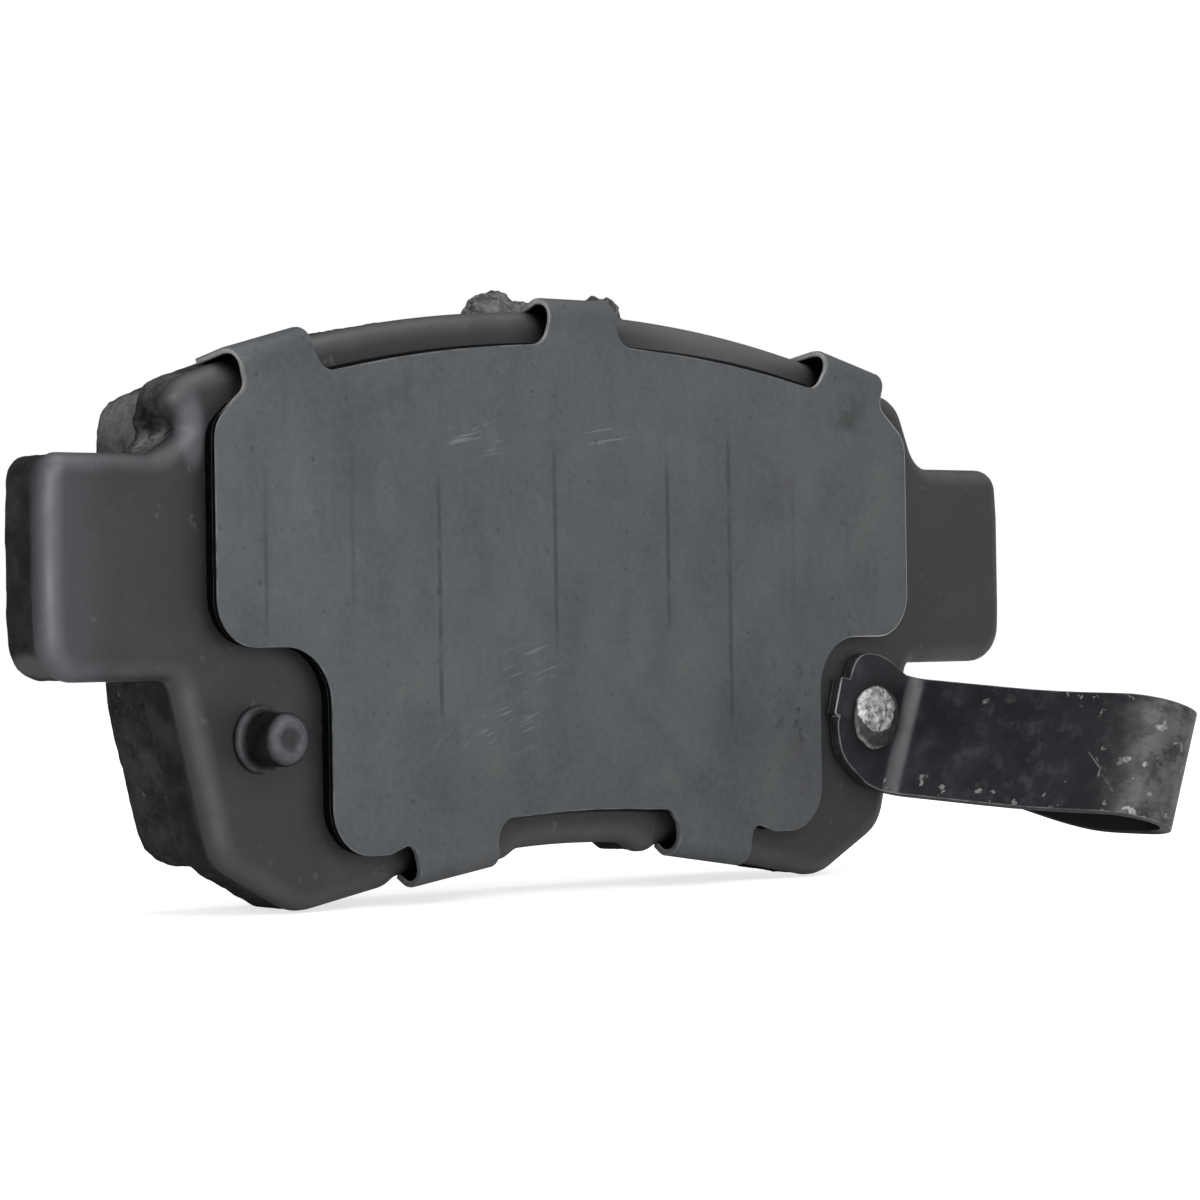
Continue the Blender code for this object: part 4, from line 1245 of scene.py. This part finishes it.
def swell_inner_shim(material):
    """The rubber sheet is made a little thicker and wider than the part is drawn, so that its
    near-black edge shows as a dark band, standing in for the shade along the outer shim's edge.
    """
    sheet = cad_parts["inner_shim"]
    sheet.data.materials.clear()
    sheet.data.materials.append(material)
    adjusted(sheet.modifiers.new("one skin", "WELD"), merge_threshold=SAME_PLACE * MM)
    adjusted(sheet.modifiers.new("widened into shade band", "DISPLACE"), strength=SHIM_SWELL * MM,
             mid_level=0.0)


# ---- pins

def turned_mesh(name, profile, centre, masks, dent):
    """Turn a (radius, depth) profile about an axis along Y through centre."""
    rings = []
    for index, (radius, depth) in enumerate(profile):
        ring = []
        for step in range(TURN_STEPS):
            angle = 2 * pi * step / TURN_STEPS
            place = dent(Vector((radius * cos(angle), depth, radius * sin(angle))), index)
            ring.append([place[axis] + centre[axis] for axis in range(3)])
        rings.append(np.array(ring))
    return ring_mesh(name, rings, masks)


def make_peg(material):
    profile = [  # radius, depth and share of the lighter tone, rubbed and painted highlight
        (0.12, -3.3, 0.3), (0.5, -3.3, 0.35), (0.8, -3.38, 0.5), (1.02, -3.53, 1.0),
        (1.2, -3.56, 0.9), (1.42, -3.54, 1.0), (1.6, -3.44, 0.8), (1.84, -3.2, 0.3),
        (1.94, -3.02, 0.0), (1.95, -2.85, 0.0), (1.94, -2.0, 0.0), (1.93, -1.0, 0.0),
        (1.95, -0.75, 0.0), (2.1, -0.68, 0.1), (2.32, -0.55, 0.7), (2.44, -0.38, 0.55),
        (2.47, -0.2, 0.1), (2.47, -0.02, 0.0),
    ]

    def dent(place, index):
        bumpy = noise.fractal(place * 0.9, 1.0, 2.0, 3) * 0.05
        return place + Vector((0, bumpy if index < 8 else 0, 0))

    mesh = turned_mesh("peg_visual", [item[:2] for item in profile], (PEG_X, PLATE_FRONT, PIN_Z),
                       {"edge": [item[2] for item in profile]}, dent)
    add_piece("peg_pressed", mesh, [material], "pad", ["locating_peg"])


def make_rivet(material):
    profile = [
        (0.1, -0.95), (0.35, -0.95), (0.6, -0.94), (0.85, -0.93), (1.1, -0.91), (1.35, -0.87),
        (1.6, -0.82), (1.85, -0.74), (2.1, -0.64), (2.3, -0.5), (2.48, -0.34), (2.56, -0.2),
        (2.58, -0.08), (2.56, 0.0),
    ]
    lit_rim = [0.0] * 10 + [0.7, 1.0, 0.5, 0.0]

    def dent(place, index):
        share = min(1.0, (len(profile) - index) / 4)
        broad = noise.fractal(place * 0.55 + Vector((3, 1, 7)), 1.0, 2.0, 2) * 0.16
        sharp = abs(noise.noise(place * 1.7 + Vector((9, 2, 4)))) * 0.22
        radial = 1.0 + noise.noise(place * 0.7 + Vector((5, 5, 5))) * 0.05
        return Vector((place.x * radial, place.y + (broad + sharp) * share, place.z * radial))

    mesh = turned_mesh("rivet_visual", profile, (RIVET_X, INDICATOR_FRONT - 0.02, PIN_Z),
                       {"lit_rim": lit_rim}, dent)
    add_piece("rivet_hammered", mesh, [material], "pad", ["indicator_rivet"])


# ---- wear indicator

def crease_place(along, towards, up):
    """World place of a point given along the strip, towards the rotor and up the crease."""
    tilt = radians(STRIP_TILT)
    x = CREASE_X + along * cos(tilt) + up * sin(tilt)
    z = CREASE_Z - along * sin(tilt) + up * cos(tilt)
    return Vector((x, INDICATOR_FRONT + STRIP_THICKNESS / 2 + towards, z))


STRIP_CORNERS = (
    (0.0, 0.0, 0),
    (1.5, 0.0, 2.1),
    (5.83, -11.0, 25.0),
    (6.83, -21.3, 3.2),
    (13.83, -21.3, 3.6),
    (13.43, -13.5, 8.0),
    (6.13, 1.5, 8.0),
    (5.13, 8.1, 0),
)


def tapered_width(point):
    """Full width as far as the return run, then a smooth taper to the tongue."""
    start = Vector(STRIP_CORNERS[-3][:2])
    run = Vector(STRIP_CORNERS[-2][:2]) - start
    passed = (point - start).dot(run) / run.length_squared / TAPER_SHARE
    share = min(max(passed, 0.0), 1.0)
    return STRIP_WIDTH + (TONGUE_WIDTH - STRIP_WIDTH) * share * share * (3 - 2 * share)


def strip_rows():
    """(place, along, width) down the strip's middle line, evenly fine."""
    path = rounded_path(STRIP_CORNERS, False, STRIP_ARC)
    fine = [path[0]]
    for before, after in zip(path, path[1:]):
        pieces = max(1, int((after - before).length / STRIP_SPACING))
        fine += [before.lerp(after, step / pieces) for step in range(1, pieces + 1)]
    far = max(range(len(fine)), key=lambda index: fine[index].x)
    rows, along = [], 0.0
    for index, point in enumerate(fine):
        if index:
            along += (point - fine[index - 1]).length
        rows.append((point, along, STRIP_WIDTH if index <= far else tapered_width(point)))
    return rows


def base_corners():
    half = STRIP_WIDTH / 2
    skew = STRIP_LEAN * half
    return [
        (skew, half, 0),
        (-2.87, 5.88, 5.0),
        (-5.67, 5.13, 1.9),
        (-6.0, 2.9, 0),
        (-7.0, 2.85, 0.2),
        (-7.05, -0.25, 0.2),
        (-6.48, -0.3, 0),
        (-6.57, -0.87, 1.6),
        (-5.47, -3.37, 3.5),
        (-1.97, -4.85, 3.0),
        (-skew, -half, 0),
    ]


def make_indicator(*materials):
    """Base, bend, loop and tongue as the one strip of steel that they are.

    Takes the materials of the face, the cut edge, the corners and the back.
    """
    work = bmesh.new()
    flat = work.loops.layers.uv.new("flat")
    uv = {}

    def vertex(along, towards, up, reached):
        made = work.verts.new(crease_place(along, towards, up) * MM)
        uv[made] = (reached * MM, up * MM)
        return made

    rows = []
    for point, along, width in strip_rows():
        ups = [width * (column / STRIP_COLUMNS - 0.5) for column in range(STRIP_COLUMNS + 1)]
        rows.append([vertex(point.x + STRIP_LEAN * up, point.y, up, along) for up in ups])
    for before, row in zip(rows, rows[1:]):
        for column in range(STRIP_COLUMNS):
            work.faces.new((before[column], before[column + 1], row[column + 1], row[column]))
    outline = rounded_path(base_corners(), False)
    around = [vertex(point.x, 0.0, point.y, point.x) for point in outline[1:-1]]
    work.faces.new([rows[0][-1]] + around + rows[0][:-1])
    face_front(work)
    for part in work.faces:
        for loop in part.loops:
            loop[flat].uv = uv[loop.vert]
    piece = add_piece("indicator_strip", mesh_of(work, "indicator_visual"), materials, None, [])
    sheet_modifiers(piece, STRIP_THICKNESS, 0.0)
    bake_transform(piece)
    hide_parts("wear_indicator_base", "wear_indicator_leaf")


# ---- build

make_camera()
make_studio()
scene.view_settings.view_transform = "Standard"
scene.view_settings.look = "None"

rubber = rubber_look()
make_plate(paint_look())
make_lining(lining_look(), friction_look(), underlayer_look())
make_flash(flash_look())
swell_inner_shim(rubber)
make_outer_shim(shim_look(), shim_rim_look(), sheet_edge_look(), rubber)
make_peg(peg_look())
make_rivet(rivet_look())
make_indicator(strip_look(),
               strip_edge_look("strip_cut", (0.03, 0.03, 0.032), (0.008, 0.008, 0.009), 0.0),
               strip_edge_look("strip_corner", (0.16, 0.16, 0.165), (0.05, 0.05, 0.053), 0.9),
               strip_back_look())
